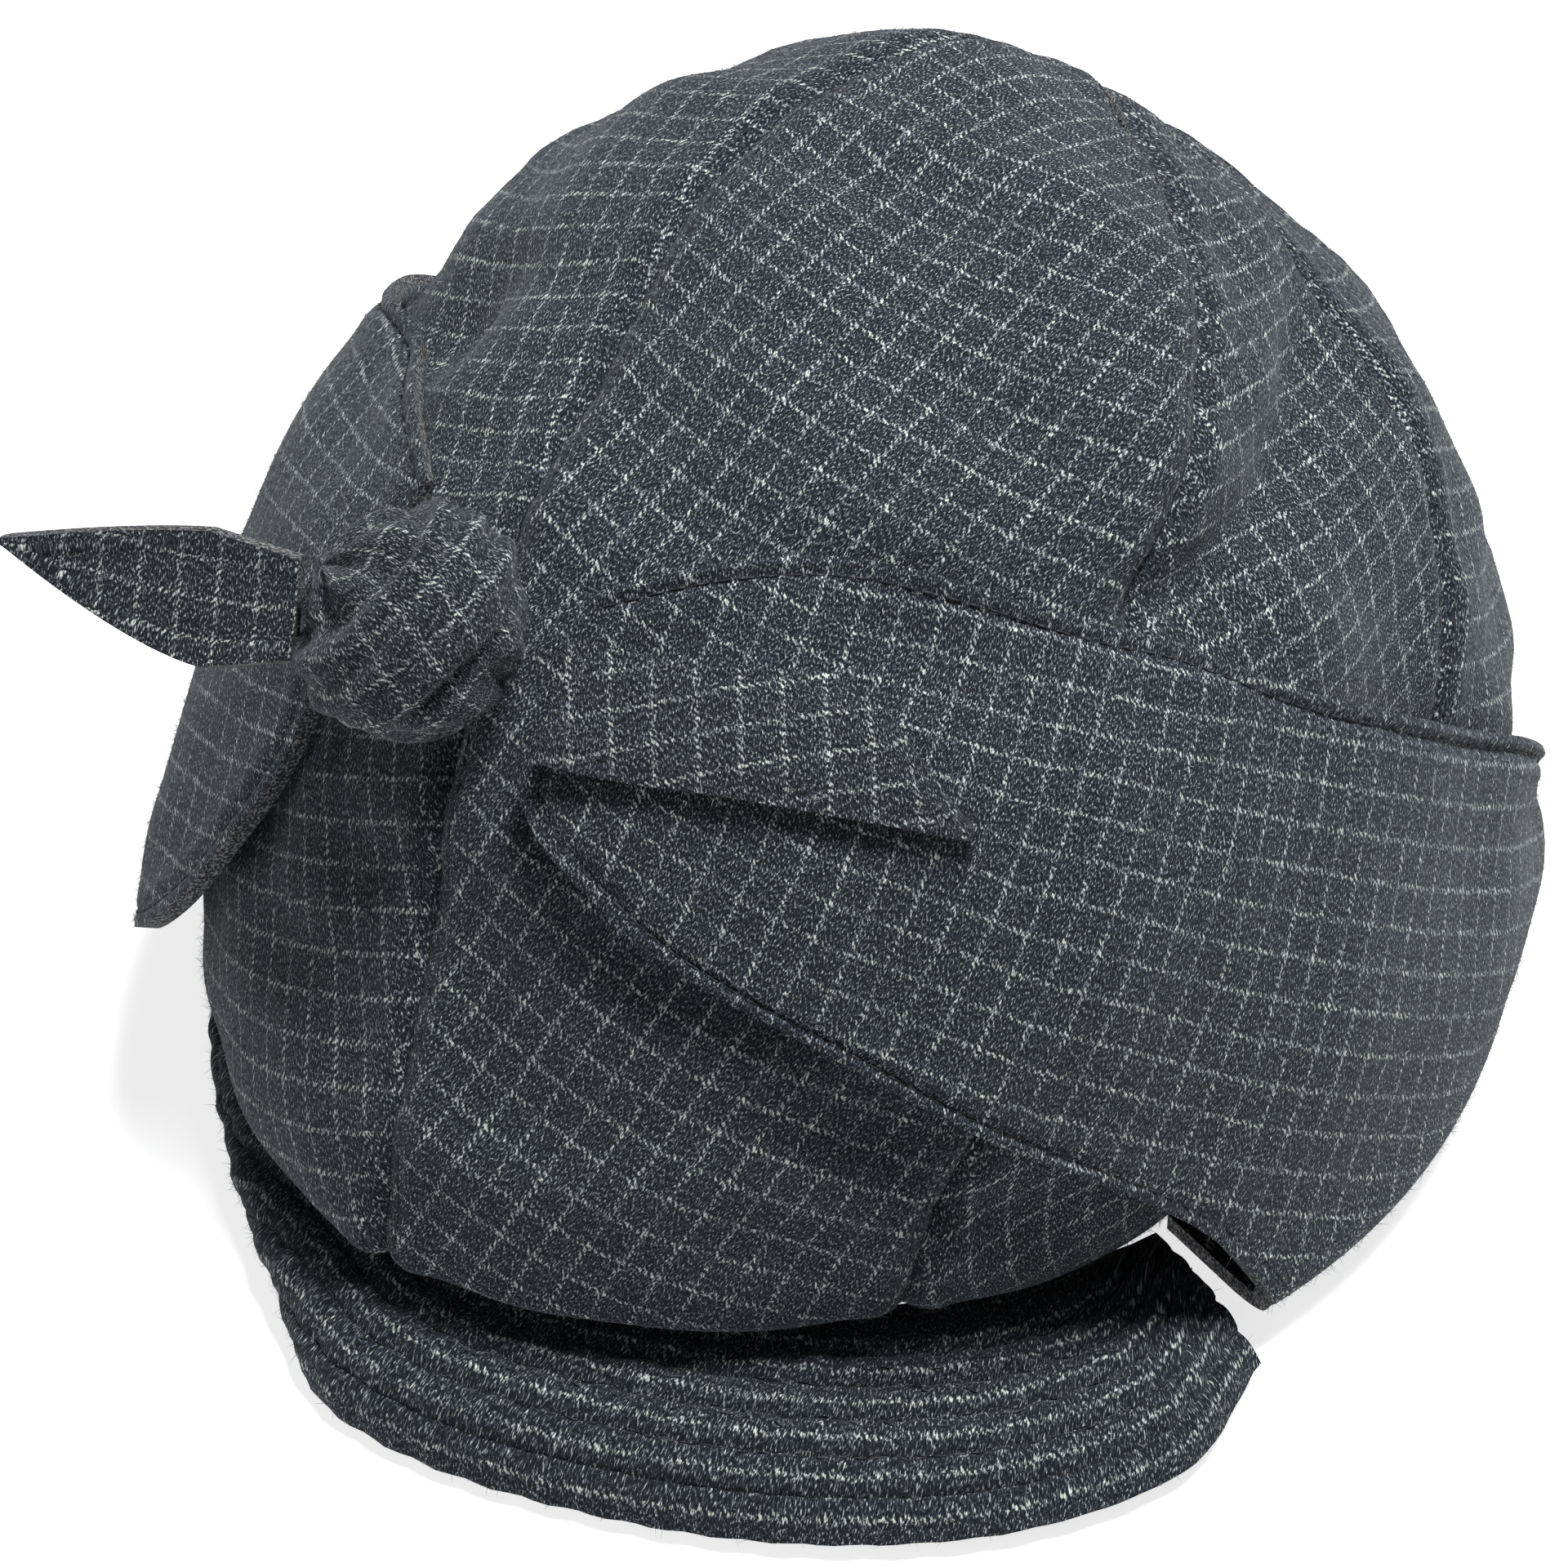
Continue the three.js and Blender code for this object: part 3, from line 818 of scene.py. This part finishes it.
@dataclass
class Wardrobe:
    """The finishes, made once."""

    wool: bpy.types.Material = field(default_factory=WoolCheck().make)
    folded: bpy.types.Material = field(
        default_factory=WoolCheck("wool_check_folded", grey=(0.048, 0.057, 0.077)).make
    )
    peak: bpy.types.Material = field(
        default_factory=WoolCheck("wool_check_peak", grey=(0.034, 0.043, 0.062), first_lines=0.55).make
    )
    cut_edge: bpy.types.Material = field(
        default_factory=Fibre("cut_wool_edge", pale=(0.2, 0.2, 0.2), spot_scale=2200).make
    )
    nap: bpy.types.Material = field(default_factory=Fibre("wool_nap").make)
    thread: bpy.types.Material = field(
        default_factory=Fibre("sewing_thread", pale=(0.05, 0.052, 0.06)).make
    )

    def dress(self, item: bpy.types.Object, slot: Slot, finish: bpy.types.Material) -> None:
        """Gives a piece its finish and ties it to the hat's body."""
        item.data.materials.clear()
        item.data.materials.append(finish)
        if "wall" in item.modifiers:
            item.data.materials.append(self.cut_edge)
            item.modifiers["wall"].material_offset_rim = 1
        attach(item, "root")

    def trim(
        self,
        item: bpy.types.Object,
        name: str,
        cloth: Cloth,
        slot: Slot,
        nap: Nap = Nap(),
        lines: Iterable[Line] = (),
        stitch: Topstitch = Topstitch(),
    ) -> None:
        """Sews a dressed piece's topstitches, grows its nap and reports the piece.

        Args:
            item: The dressed piece.
            name: Name of its trimmings, with {} for their kind.
            cloth: The cloth that the nap grows on.
            slot: The record's slot for them.
            nap: The nap's sizes.
            lines: Points and normals of each stitch line.
            stitch: The stitches' sizes.
        """
        if lines:
            self.dress(stitch.sew(name.format("stitches"), lines), slot, self.thread)
        self.dress(nap.grow(name.format("nap"), cloth), slot, self.nap)
        log.info("%s: %d points", item.name, len(item.data.vertices))


@dataclass
class Crown:
    """The eight sewn gores."""

    wardrobe: Wardrobe
    count: int = 8
    wall: float = 2.0
    across: int = 57
    tuck_rows: int = 14
    dome_rows: int = 112
    check_turn: float = 21.0
    stitch_from_seam: float = 2.6
    pucker: float = 0.22
    pucker_length: float = 7.0
    pucker_drift: tuple = (1.7, 11.0)
    pucker_reach: float = 5.0
    seam_bias: float = 0.6
    seam_profile: tuple = ((-1.5, 0.0, 1.5), (0.45, 4.5, 2.6), (-0.3, 2.6, 0.7))
    stitch_least_width: float = 14.0
    narrow_seam: float = 16.0
    narrow_rumple: float = 30.0
    rim_fade: float = 6.0
    rumple: Rumple = field(default_factory=Rumple)

    def gore(self, index: int) -> Cloth:
        """Lays out one gore with its seams, puckers and rumples.

        Args:
            index: The gore's number from 0, counted from the front to the wearer's left.

        Returns:
            The gore's outer face.
        """
        sweep = 2 * math.pi / self.count
        even = np.linspace(0, 1, self.across)
        crowded = 0.5 - 0.5 * np.cos(math.pi * even)
        share = (1 - self.seam_bias) * even + self.seam_bias * crowded
        angle = (index + share)[None, :] * sweep
        rise = np.concatenate(
            [np.linspace(-1, 0, self.tuck_rows, endpoint=False), np.linspace(0, 1, self.dome_rows)]
        )
        points = CROWN.gore(angle, rise[:, None])
        run = running_length(points, 1)
        width = run[:, -1:]
        middle = points[:, self.across // 2][:, None]
        up = running_length(np.repeat(middle, self.across, axis=1), 0)
        cloth = Cloth(points, np.stack([run - width / 2, up], axis=-1))
        from_seam = np.minimum(run, width - run)
        narrow = np.minimum(1, width / self.narrow_seam)
        relief = self.rumple.at(points) * np.minimum(1, width / self.narrow_rumple)
        relief = relief + ridges(from_seam, *self.seam_profile)
        drift, drift_length = self.pucker_drift
        wave = np.sin(up * 2 * math.pi / self.pucker_length + drift * np.sin(up / drift_length))
        relief = relief + self.pucker * wave * np.exp(-from_seam / self.pucker_reach)
        rim = np.minimum(1, running_length(points, 0) / self.rim_fade)
        return cloth.swell(relief * narrow * rim).turned(self.check_turn, mirrored=index % 2 == 1)

    def stitch_lines(self, cloth: Cloth) -> list[Line]:
        """The topstitch lines on both sides of a gore, where it is wide enough."""
        run = running_length(cloth.points, 1)
        width = run[:, -1]
        rows = np.nonzero(width > self.stitch_least_width)[0]
        near = np.full(len(width), self.stitch_from_seam)
        return [cloth.trace(run, wanted, rows) for wanted in (near, width - near)]

    def build(self) -> None:
        """Builds every gore with its nap and topstitches."""
        for index in range(self.count):
            node = f"crown_panel_{index + 1}"
            cloth = self.gore(index)
            item = cloth.mesh(f"crown_gore_{index + 1}")
            give_wall(item, self.wall)
            self.wardrobe.dress(item, Slot.WOOL, self.wardrobe.wool)
            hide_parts(node)
            flat, area = cloth.cut_size()
            stitched = self.stitch_lines(cloth)
            self.wardrobe.trim(item, f"gore_{{}}_{index + 1}", cloth, Slot.WOOL, lines=stitched)


@dataclass
class Peak:
    """The stiff front peak with rows of stitching along its edge."""

    wardrobe: Wardrobe
    wall: float = 3.4
    rim_gap: float = 0.4
    root_drop: float = 2.0
    across: int = 42
    along: int = 141
    stitch_rows: int = 5
    row_pitch: float = 6.0
    row_depth: float = 1.25
    row_width: float = 1.0
    row_wave: tuple = (0.35, 6.2, 2.1)
    edge_swell: float = 0.3
    pucker: float = 0.3
    pucker_length: float = 8.5
    pucker_drift: tuple = (1.3, 4.0)
    end_fade: float = 4.0
    root_fade: float = 6.0
    root_margin: float = 4.0
    floor_gap: float = 0.1

    def cloth(self) -> Cloth:
        """Lays out the peak's middle, from its edge in to the rim."""
        sections = columns(PEAK_COLUMNS, PEAK_SECTIONS)
        first, last = sections["azimuth"][0], sections["azimuth"][-1]
        azimuth = np.linspace(first, last, self.along)
        place = np.interp(azimuth, sections["azimuth"], np.linspace(0, 1, len(PEAK_SECTIONS)))
        read = {name: read_column(values, place) for name, values in sections.items()}
        polar = np.radians(azimuth)
        angle = np.arctan2(np.sin(polar) / CROWN.half_width, np.cos(polar) / CROWN.half_length)
        rim = CROWN.dome(angle, np.full_like(angle, -1))
        root_radius = np.hypot(rim[:, 0], rim[:, 1]) + self.rim_gap + self.wall / 2
        reach = np.linspace(1, 0, self.across)[:, None]
        knee = 2 * reach * (1 - reach)
        near, far = (1 - reach) ** 2, reach**2
        radius = near * root_radius + knee * read["knee_radius"] + far * read["edge_radius"]
        root_height = rim[:, 2] - self.root_drop
        height = near * root_height + knee * read["knee_height"] + far * read["edge_height"]
        points = np.stack([radius * np.sin(polar), -radius * np.cos(polar), height], axis=-1)
        from_edge = running_length(points, 0)
        spread = running_length(points, 1)
        from_middle = spread - spread[:, self.along // 2][:, None]
        cloth = Cloth(points, np.stack([from_middle, from_edge + CHECK_REPEAT / 2], axis=-1))
        relief = np.zeros(from_edge.shape)
        sway, sway_length, step = self.row_wave
        for number in range(1, self.stitch_rows + 1):
            groove = bump(from_edge - number * self.row_pitch, self.row_width)
            wave = 1 + sway * np.sin(spread * 2 * math.pi / sway_length + step * number)
            relief = relief - self.row_depth * groove * wave
        swell = np.sin(math.pi * np.clip(from_edge / self.row_pitch, 0, 1)) * self.edge_swell
        drift, drift_length = self.pucker_drift
        turn = spread * 2 * math.pi / self.pucker_length + drift * np.sin(from_edge / drift_length)
        ripple = np.sin(turn) * self.pucker
        ends = np.minimum(1, np.minimum(spread, spread[:, -1:] - spread) / self.end_fade)
        root = np.minimum(1, (from_edge[-1] - from_edge) / self.root_fade)
        sewn = cloth.swell((relief + swell + ripple) * ends * root)
        sewn.points[..., 2] = np.maximum(sewn.points[..., 2], self.wall / 2 + self.floor_gap)
        return sewn

    def stitch_lines(self, cloth: Cloth) -> list[Line]:
        """The rows of stitches, parallel to the edge."""
        from_edge = running_length(cloth.points, 0)
        lines = []
        for number in range(1, self.stitch_rows + 1):
            wanted = np.full(self.along, number * self.row_pitch)
            kept = np.nonzero(from_edge[-1] > wanted + self.root_margin)[0]
            points, normals = cloth.trace(from_edge, wanted, kept, axis=0)
            lines.append((points + normals * self.wall / 2, normals))
        return lines

    def build(self) -> None:
        """Builds the peak with its stitch rows and nap."""
        cloth = self.cloth()
        item = cloth.mesh("stitched_peak")
        give_wall(item, self.wall, offset=0, edge=1.0)
        self.wardrobe.dress(item, Slot.WOOL, self.wardrobe.peak)
        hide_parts("peak")
        top = Cloth(cloth.points + cloth.normals() * self.wall / 2, cloth.flat)
        small = Topstitch(pitch=3.0, length=2.2, radius=0.18)
        stitched = self.stitch_lines(cloth)
        self.wardrobe.trim(item, "peak_{}", top, Slot.WOOL, lines=stitched, stitch=small)


@dataclass
class Flap:
    """An ear flap, rooted at the rim, rolled over at the fold and turned up to the knot."""

    wardrobe: Wardrobe
    side: Side
    wall: float = 3.0
    middle: float = 100.0
    rear: float = 136.0
    knot_end: float = 4.0
    rows: int = 100
    along: int = 120
    least_height: float = 0.3
    hem: float = 3.0
    hem_profile: tuple = ((-0.7, 3.0, 0.8), (0.5, 1.2, 1.1), (0.3, 6.0, 2.0))
    fold_depth: float = 0.9
    fold_count: float = 2.2
    fold_skew: float = 2.0
    fan_reach: float = 55.0
    fan_from: float = 0.55
    smooth_until: float = 0.35
    smooth_fade: float = 0.2
    net_out: float = 8.0
    net_step: float = 3.0
    net_turn: float = 181.0
    net_height: float = 121.0
    check_turn: float = 34.0
    straight: float = 72.0
    rumple: Rumple = field(default_factory=lambda: Rumple(depth=0.5, seed=11))

    def row_height(
        self, read: dict[str, np.ndarray], front: np.ndarray, azimuth: np.ndarray
    ) -> np.ndarray:
        """Height along a row: a curve through its front, middle and rear heights."""
        a, b, c = front, self.middle, self.rear
        front_part = read["front_height"] * ((azimuth - b) * (azimuth - c)) / ((a - b) * (a - c))
        middle_part = read["middle_height"] * ((azimuth - a) * (azimuth - c)) / ((b - a) * (b - c))
        rear_part = read["rear_height"] * ((azimuth - a) * (azimuth - b)) / ((c - a) * (c - b))
        return front_part + middle_part + rear_part

    def wrapped_lengths(self, azimuth: np.ndarray, height: np.ndarray) -> tuple[np.ndarray, np.ndarray]:
        """Lengths round and up the crown at a place, as a flap that lies on it measures them.

        Args:
            azimuth: Degrees from the front, on the flap's side.
            height: Height above the table.

        Returns:
            The length round from the straight azimuth, and the length up from the table.
        """
        step, side = self.net_step, self.side.value
        turns, levels = np.arange(0.0, self.net_turn, step), np.arange(0.0, self.net_height, step)
        net = CROWN.beside(np.radians(side * turns)[None, :], levels[:, None], self.net_out)
        round_run, up_run = running_length(net, 1), running_length(net, 0)
        round_run = round_run - round_run[:, [int(self.straight / step)]]
        # The limit stays just inside the last cell.
        row = np.clip(height / step, 0, len(levels) - 1.001)
        column = np.clip(azimuth / step, 0, len(turns) - 1.001)
        low, left = row.astype(int), column.astype(int)
        up, on = row - low, column - left
        read = []
        for run in (round_run, up_run):
            below = run[low, left] * (1 - on) + run[low, left + 1] * on
            above = run[low + 1, left] * (1 - on) + run[low + 1, left + 1] * on
            read.append(below * (1 - up) + above * up)
        return read[0], read[1]

    def cloth(self) -> Cloth:
        """Lays out the flap's outer face, rows from the root to the free edge."""
        place = np.linspace(0, 1, self.rows)[:, None]
        table = columns(FLAP_COLUMNS, FLAP_ROWS)
        read = {name: read_column(values, place) for name, values in table.items()}
        side = self.side.name.lower()
        front = np.maximum(read[side], self.knot_end)
        share = np.linspace(0, 1, self.along)[None, :]
        azimuth = front + (self.rear - front) * share
        front_out = read[f"{side}_out"]
        out = front_out + (read["rear_out"] - front_out) * share
        height = np.maximum(self.least_height, self.row_height(read, front, azimuth))
        points = CROWN.beside(np.radians(self.side.value * azimuth), height, out)
        across, up = self.wrapped_lengths(azimuth, height)
        tucked = np.clip(1 - place * (len(FLAP_ROWS) - 1) / 2, 0, 1) * out.max()
        flat = np.stack([self.side.value * across, up - tucked], axis=-1)
        cloth = Cloth(points, flat, self.side.value)
        return cloth.swell(self.relief(points, place, share)).turned(self.side.value * self.check_turn)

    def edge_distance(self, points: np.ndarray) -> np.ndarray:
        """Distance in from the flap's free edges."""
        run, up = running_length(points, 1), running_length(points, 0)
        return np.minimum(np.minimum(run, run[:, -1:] - run), up[-1:] - up)

    def relief(self, points: np.ndarray, place: np.ndarray, share: np.ndarray) -> np.ndarray:
        """Hem, soft folds that fan out from the knot, and rumples."""
        relief = ridges(self.edge_distance(points), *self.hem_profile)
        fan = np.exp(-running_length(points, 1) / self.fan_reach)
        upper = np.clip((place - self.fan_from) / (1 - self.fan_from), 0, 1)
        folds = np.sin(upper * 2 * math.pi * self.fold_count + self.fold_skew * share) * upper**0.5
        relief = relief + self.fold_depth * folds * fan
        unrolled = np.clip((place - self.smooth_until) / self.smooth_fade, 0, 1)
        return (relief + self.rumple.at(points)) * unrolled

    def stitch_lines(self, cloth: Cloth) -> list[Line]:
        """The hem's stitches along the front edge and the upper edge."""
        up, run = running_length(cloth.points, 0), running_length(cloth.points, 1)
        under_top, behind_front = np.full(self.along, -self.hem), np.full(self.rows, self.hem)
        rows = range(self.rows // 4, self.rows - 4)
        return [
            cloth.trace(up - up[-1:], under_top, range(self.along), axis=0),
            cloth.trace(run, behind_front, rows),
        ]

    def build(self) -> None:
        """Builds the flap with its hem stitches and nap."""
        name = self.side.name.lower()
        cloth = self.cloth()
        item = cloth.mesh(f"ear_flap_{name}")
        give_wall(item, self.wall, edge=0.9)
        self.wardrobe.dress(item, Slot.WOOL, self.wardrobe.wool)
        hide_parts(f"flap_{name}")
        flat, area = cloth.cut_size()
        stitched = self.stitch_lines(cloth)
        self.wardrobe.trim(item, f"flap_{{}}_{name}", cloth, Slot.WOOL, lines=stitched)


@dataclass
class Knot:
    """The knot of both ties and the two pointed tie ends."""

    wardrobe: Wardrobe
    azimuth: float = -10.0
    height: float = 95.0
    out: float = 13.7
    half_across: float = 17.0
    half_tall: float = 17.0
    half_deep: float = 13.0
    pole_turn: float = 47.0
    squareness: float = 2.1
    round_length: float = 15.0
    across_length: float = 17.0
    check_turn: float = 18.0
    pole_fade: float = 4.0
    band_lift: float = 1.6
    band_left: tuple = (-0.6, 0.16, 0.4)
    band_right: tuple = (0.22, 0.26, -0.3)
    band_edge: float = 0.03
    sink: float = 0.6
    left_crease: tuple = (-1.3, -0.08, 0.07)
    right_crease: tuple = (-1.5, 0.09, 0.08)
    fold_depth: float = 0.65
    fold_pitch: float = 0.34
    fold_sway: float = 0.9
    fan_folds: float = 6.0
    fan_twist: float = 2.5
    fan_share: float = 1.3
    around: int = 121
    rings: int = 61
    wall: float = 3.0
    along: int = 61
    across: int = 25
    reach: float = 45.0
    half_width: float = 10.0
    root_share: float = 0.75
    tip_share: float = 0.06
    widest_at: float = 0.3
    taper_power: float = 1.4
    heading: float = 204.0
    rise: float = -2.0
    twist: float = 35.0
    edge_lift: float = 0.5
    start: float = 17.1
    lying_turn: float = -20.0
    tie_hem: tuple = (-0.3, 2.2, 0.6)
    tie_swell: tuple = (0.5, 3.0)

    def axes(self) -> tuple[np.ndarray, np.ndarray, np.ndarray, np.ndarray]:
        """The knot's centre and its across, tall and deep axes."""
        angle = math.radians(self.azimuth)
        centre = CROWN.beside(angle, self.height, self.out)
        deep = unit(centre - CROWN.beside(angle, self.height, 0.0))
        across = np.array([math.cos(angle), math.sin(angle), 0.0])
        return centre, across, unit(np.cross(deep, across)), deep

    def roll(self) -> Cloth:
        """Lays out the knot's wound cloth, with its poles turned to where the tie ends go in."""
        centre, across, tall, deep = self.axes()
        turn = np.linspace(0, 2 * math.pi, self.around)[None, :]
        tilt = np.linspace(-math.pi / 2, math.pi / 2, self.rings)[:, None]
        along = np.sin(tilt) * np.ones_like(turn)
        up, front = np.cos(tilt) * np.cos(turn), np.cos(tilt) * np.sin(turn)
        pole = math.radians(self.pole_turn)
        x = along * math.cos(pole) + front * math.sin(pole)
        z = front * math.cos(pole) - along * math.sin(pole)
        power = self.squareness
        square = (np.abs(x) ** power + np.abs(up) ** power + np.abs(z) ** power) ** (-1 / power)
        points = (
            centre
            + across * (self.half_across * x * square)[..., None]
            + tall * (self.half_tall * up * square)[..., None]
            + deep * (self.half_deep * z * square)[..., None]
        )
        flat = np.stack(
            [turn * self.round_length + 0 * tilt, tilt * self.across_length + 0 * turn], axis=-1
        )
        cloth = Cloth(points, flat)
        if (cloth.normals()[self.rings // 2] * (points[self.rings // 2] - centre)).sum() < 0:
            cloth.outward = -1
        fade = np.minimum(1, np.cos(tilt) * self.pole_fade)
        return cloth.swell(self.wound(turn, along) * fade).turned(self.check_turn)

    def wound(self, turn: np.ndarray, along: np.ndarray) -> np.ndarray:
        """Relief of the band that wraps the knot and of the folds that fan out beside it.

        Args:
            turn: Angle round the knot, 0 at its top.
            along: From -1 at the standing end to 1 at the lying end.

        Returns:
            The relief, in millimetres.
        """
        left, right = (
            place + sway * np.cos(turn + phase)
            for place, sway, phase in (self.band_left, self.band_right)
        )
        rising = 1 + np.exp(-(along - left) / self.band_edge)
        band = 1 / rising / (1 + np.exp((along - right) / self.band_edge))
        relief = self.band_lift * band - self.sink
        relief = relief + ridges(along - left, self.left_crease)
        relief = relief + ridges(along - right, self.right_crease)
        folds = (along - left) * 2 * math.pi / self.fold_pitch + self.fold_sway * np.sin(turn * 2)
        relief = relief + self.fold_depth * np.sin(folds) * band
        fan = np.sin(turn * self.fan_folds + self.fan_twist * along)
        return relief + self.fold_depth * self.fan_share * fan * (1 - band)

    def lying_end(self) -> Cloth:
        """Lays out the wearer's-left tie end, which lies on its flap."""
        place = np.linspace(0, 1, self.along)[None, :]
        table = columns(LYING_TIE_COLUMNS, LYING_TIE)
        read = {name: read_column(values, place) for name, values in table.items()}
        share = np.linspace(0, 1, self.across)[:, None]
        height = read["low"] + (read["high"] - read["low"]) * share
        points = CROWN.beside(np.radians(read["azimuth"]), height, read["out"] + 0 * share)
        flat = np.stack([running_length(points, 1), running_length(points, 0)], axis=-1)
        return Cloth(points, flat).turned(self.lying_turn)

    def standing_end(self) -> Cloth:
        """Lays out the middle of the wearer's-right tie end, which stands out in the air."""
        centre, _, _, _ = self.axes()
        heading, rise = math.radians(self.heading), math.radians(self.rise)
        level = math.cos(rise)
        along = np.array([math.cos(heading) * level, math.sin(heading) * level, math.sin(rise)])
        upright = unit(np.array([0, 0, 1.0]) - along * along[2])
        turn = math.radians(self.twist)
        upright = upright * math.cos(turn) + np.cross(along, upright) * math.sin(turn)
        place = np.linspace(0, 1, self.along)[None, :]
        before = self.root_share + (1 - self.root_share) * place / self.widest_at
        gone = np.clip((place - self.widest_at) / (1 - self.widest_at), 0, 1)
        after = 1 + (self.tip_share - 1) * gone**self.taper_power
        taper = np.where(place < self.widest_at, before, after)
        side = np.linspace(-1, 1, self.across)[:, None]
        width = self.half_width * taper * side
        lift = self.half_width * self.edge_lift * np.where(place < self.widest_at, 0, 1 - after)
        points = (
            centre
            + along * (self.start + place * self.reach + 0 * side)[..., None]
            + upright * (width + lift)[..., None]
        )
        flat = np.stack([place * self.reach + 0 * side, width], axis=-1)
        return Cloth(points, flat)

    def hemmed(self, cloth: Cloth) -> Cloth:
        """Presses a hem line into a tie end."""
        run, up = running_length(cloth.points, 1), running_length(cloth.points, 0)
        edge = np.minimum(run[:, -1:] - run, np.minimum(up, up[-1:] - up))
        swell, reach = self.tie_swell
        return cloth.swell(ridges(edge, self.tie_hem) + swell * np.minimum(1, edge / reach))

    def build(self) -> None:
        """Builds the knot and both tie ends with their nap."""
        roll = self.roll()
        item = roll.mesh("rolled_knot", wraps=True)
        self.wardrobe.dress(item, Slot.FOLDED_WOOL, self.wardrobe.folded)
        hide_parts("knot")
        self.wardrobe.trim(item, "knot_{}", roll, Slot.FOLDED_WOOL, Nap(density=1.5))
        lying = self.hemmed(self.lying_end())
        standing = self.hemmed(self.standing_end())
        for name, node, cloth, offset in (
            ("lying_tie_end", "tie_end_left", lying, -1.0),
            ("standing_tie_end", "tie_end_right", standing, 0.0),
        ):
            item = cloth.mesh(name)
            give_wall(item, self.wall, offset=offset, edge=0.9)
            self.wardrobe.dress(item, Slot.FOLDED_WOOL, self.wardrobe.folded)
            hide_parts(node)
            flat, area = cloth.cut_size()
            lifted = Cloth(cloth.points + cloth.normals() * self.wall * (1 + offset) / 2, cloth.flat)
            self.wardrobe.trim(item, f"{name}_{{}}", lifted, Slot.FOLDED_WOOL, Nap(density=1.4))


@dataclass(frozen=True)
class Studio:
    """Camera, floor and soft light. Distances are in metres."""

    azimuth: float = 37.0
    elevation: float = 42.0
    distance: float = 1.0
    lens: float = 145.3
    target: tuple = (-0.0153, -0.0006, 0.0215)
    floor_half: float = 4.0
    floor_grey: float = 0.6
    floor_glow: float = 0.75
    aim: tuple = (0, 0, 0.05)
    sky: float = 0.13

    def camera(self) -> None:
        """Puts the camera at the photograph's angle."""
        data = bpy.data.cameras.new("camera")
        data.lens = self.lens
        item = add_item("camera", data)
        around, up = math.radians(self.azimuth), math.radians(self.elevation)
        back = Vector((math.sin(around) * math.cos(up), -math.cos(around) * math.cos(up), math.sin(up)))
        item.location = Vector(self.target) + Vector(SHIFT * MM) + back * self.distance
        item.rotation_euler = (-back).to_track_quat("-Z", "Y").to_euler()
        bpy.context.scene.camera = item

    def floor(self) -> None:
        """Lays a plain pale floor."""
        work = bmesh.new()
        bmesh.ops.create_grid(work, x_segments=1, y_segments=1, size=self.floor_half)
        item = add_item("floor", finish_mesh("floor", work))
        bench = NodeBench("pale_floor")
        bench.settle({"Base Color": (*[self.floor_grey] * 3, 1), "Roughness": 0.9})
        bench.settle({"Emission Color": (1, 1, 1, 1), "Emission Strength": self.floor_glow})
        item.data.materials.append(bench.material)

    def light(self, name: str, place: tuple, size: float, power: float) -> None:
        """Hangs a soft lamp that points at the hat."""
        data = bpy.data.lights.new(name, "AREA")
        data.size = size
        data.energy = power
        item = add_item(name, data)
        item.location = place
        item.rotation_euler = (Vector(self.aim) - Vector(place)).to_track_quat("-Z", "Y").to_euler()

    def build(self) -> None:
        """Sets up the whole studio."""
        self.camera()
        self.floor()
        self.light("key", (0.16, 0.24, 1.2), 0.45, 33)
        self.light("front", (-0.4, -1.2, 0.7), 0.8, 2)
        world = bpy.data.worlds.new("studio")
        world.use_nodes = True
        background = world.node_tree.nodes["Background"]
        background.inputs["Color"].default_value = (1, 1, 1, 1)
        background.inputs["Strength"].default_value = self.sky
        bpy.context.scene.world = world
        bpy.context.scene.view_settings.view_transform = "Standard"


def main() -> None:
    """Builds the studio and every piece of the hat."""
    Studio().build()
    wardrobe = Wardrobe()
    Crown(wardrobe).build()
    Peak(wardrobe).build()
    Flap(wardrobe, Side.LEFT, knot_end=4.0).build()
    Flap(wardrobe, Side.RIGHT, knot_end=25.0).build()
    Knot(wardrobe).build()


if __name__ == "__main__":
    main()
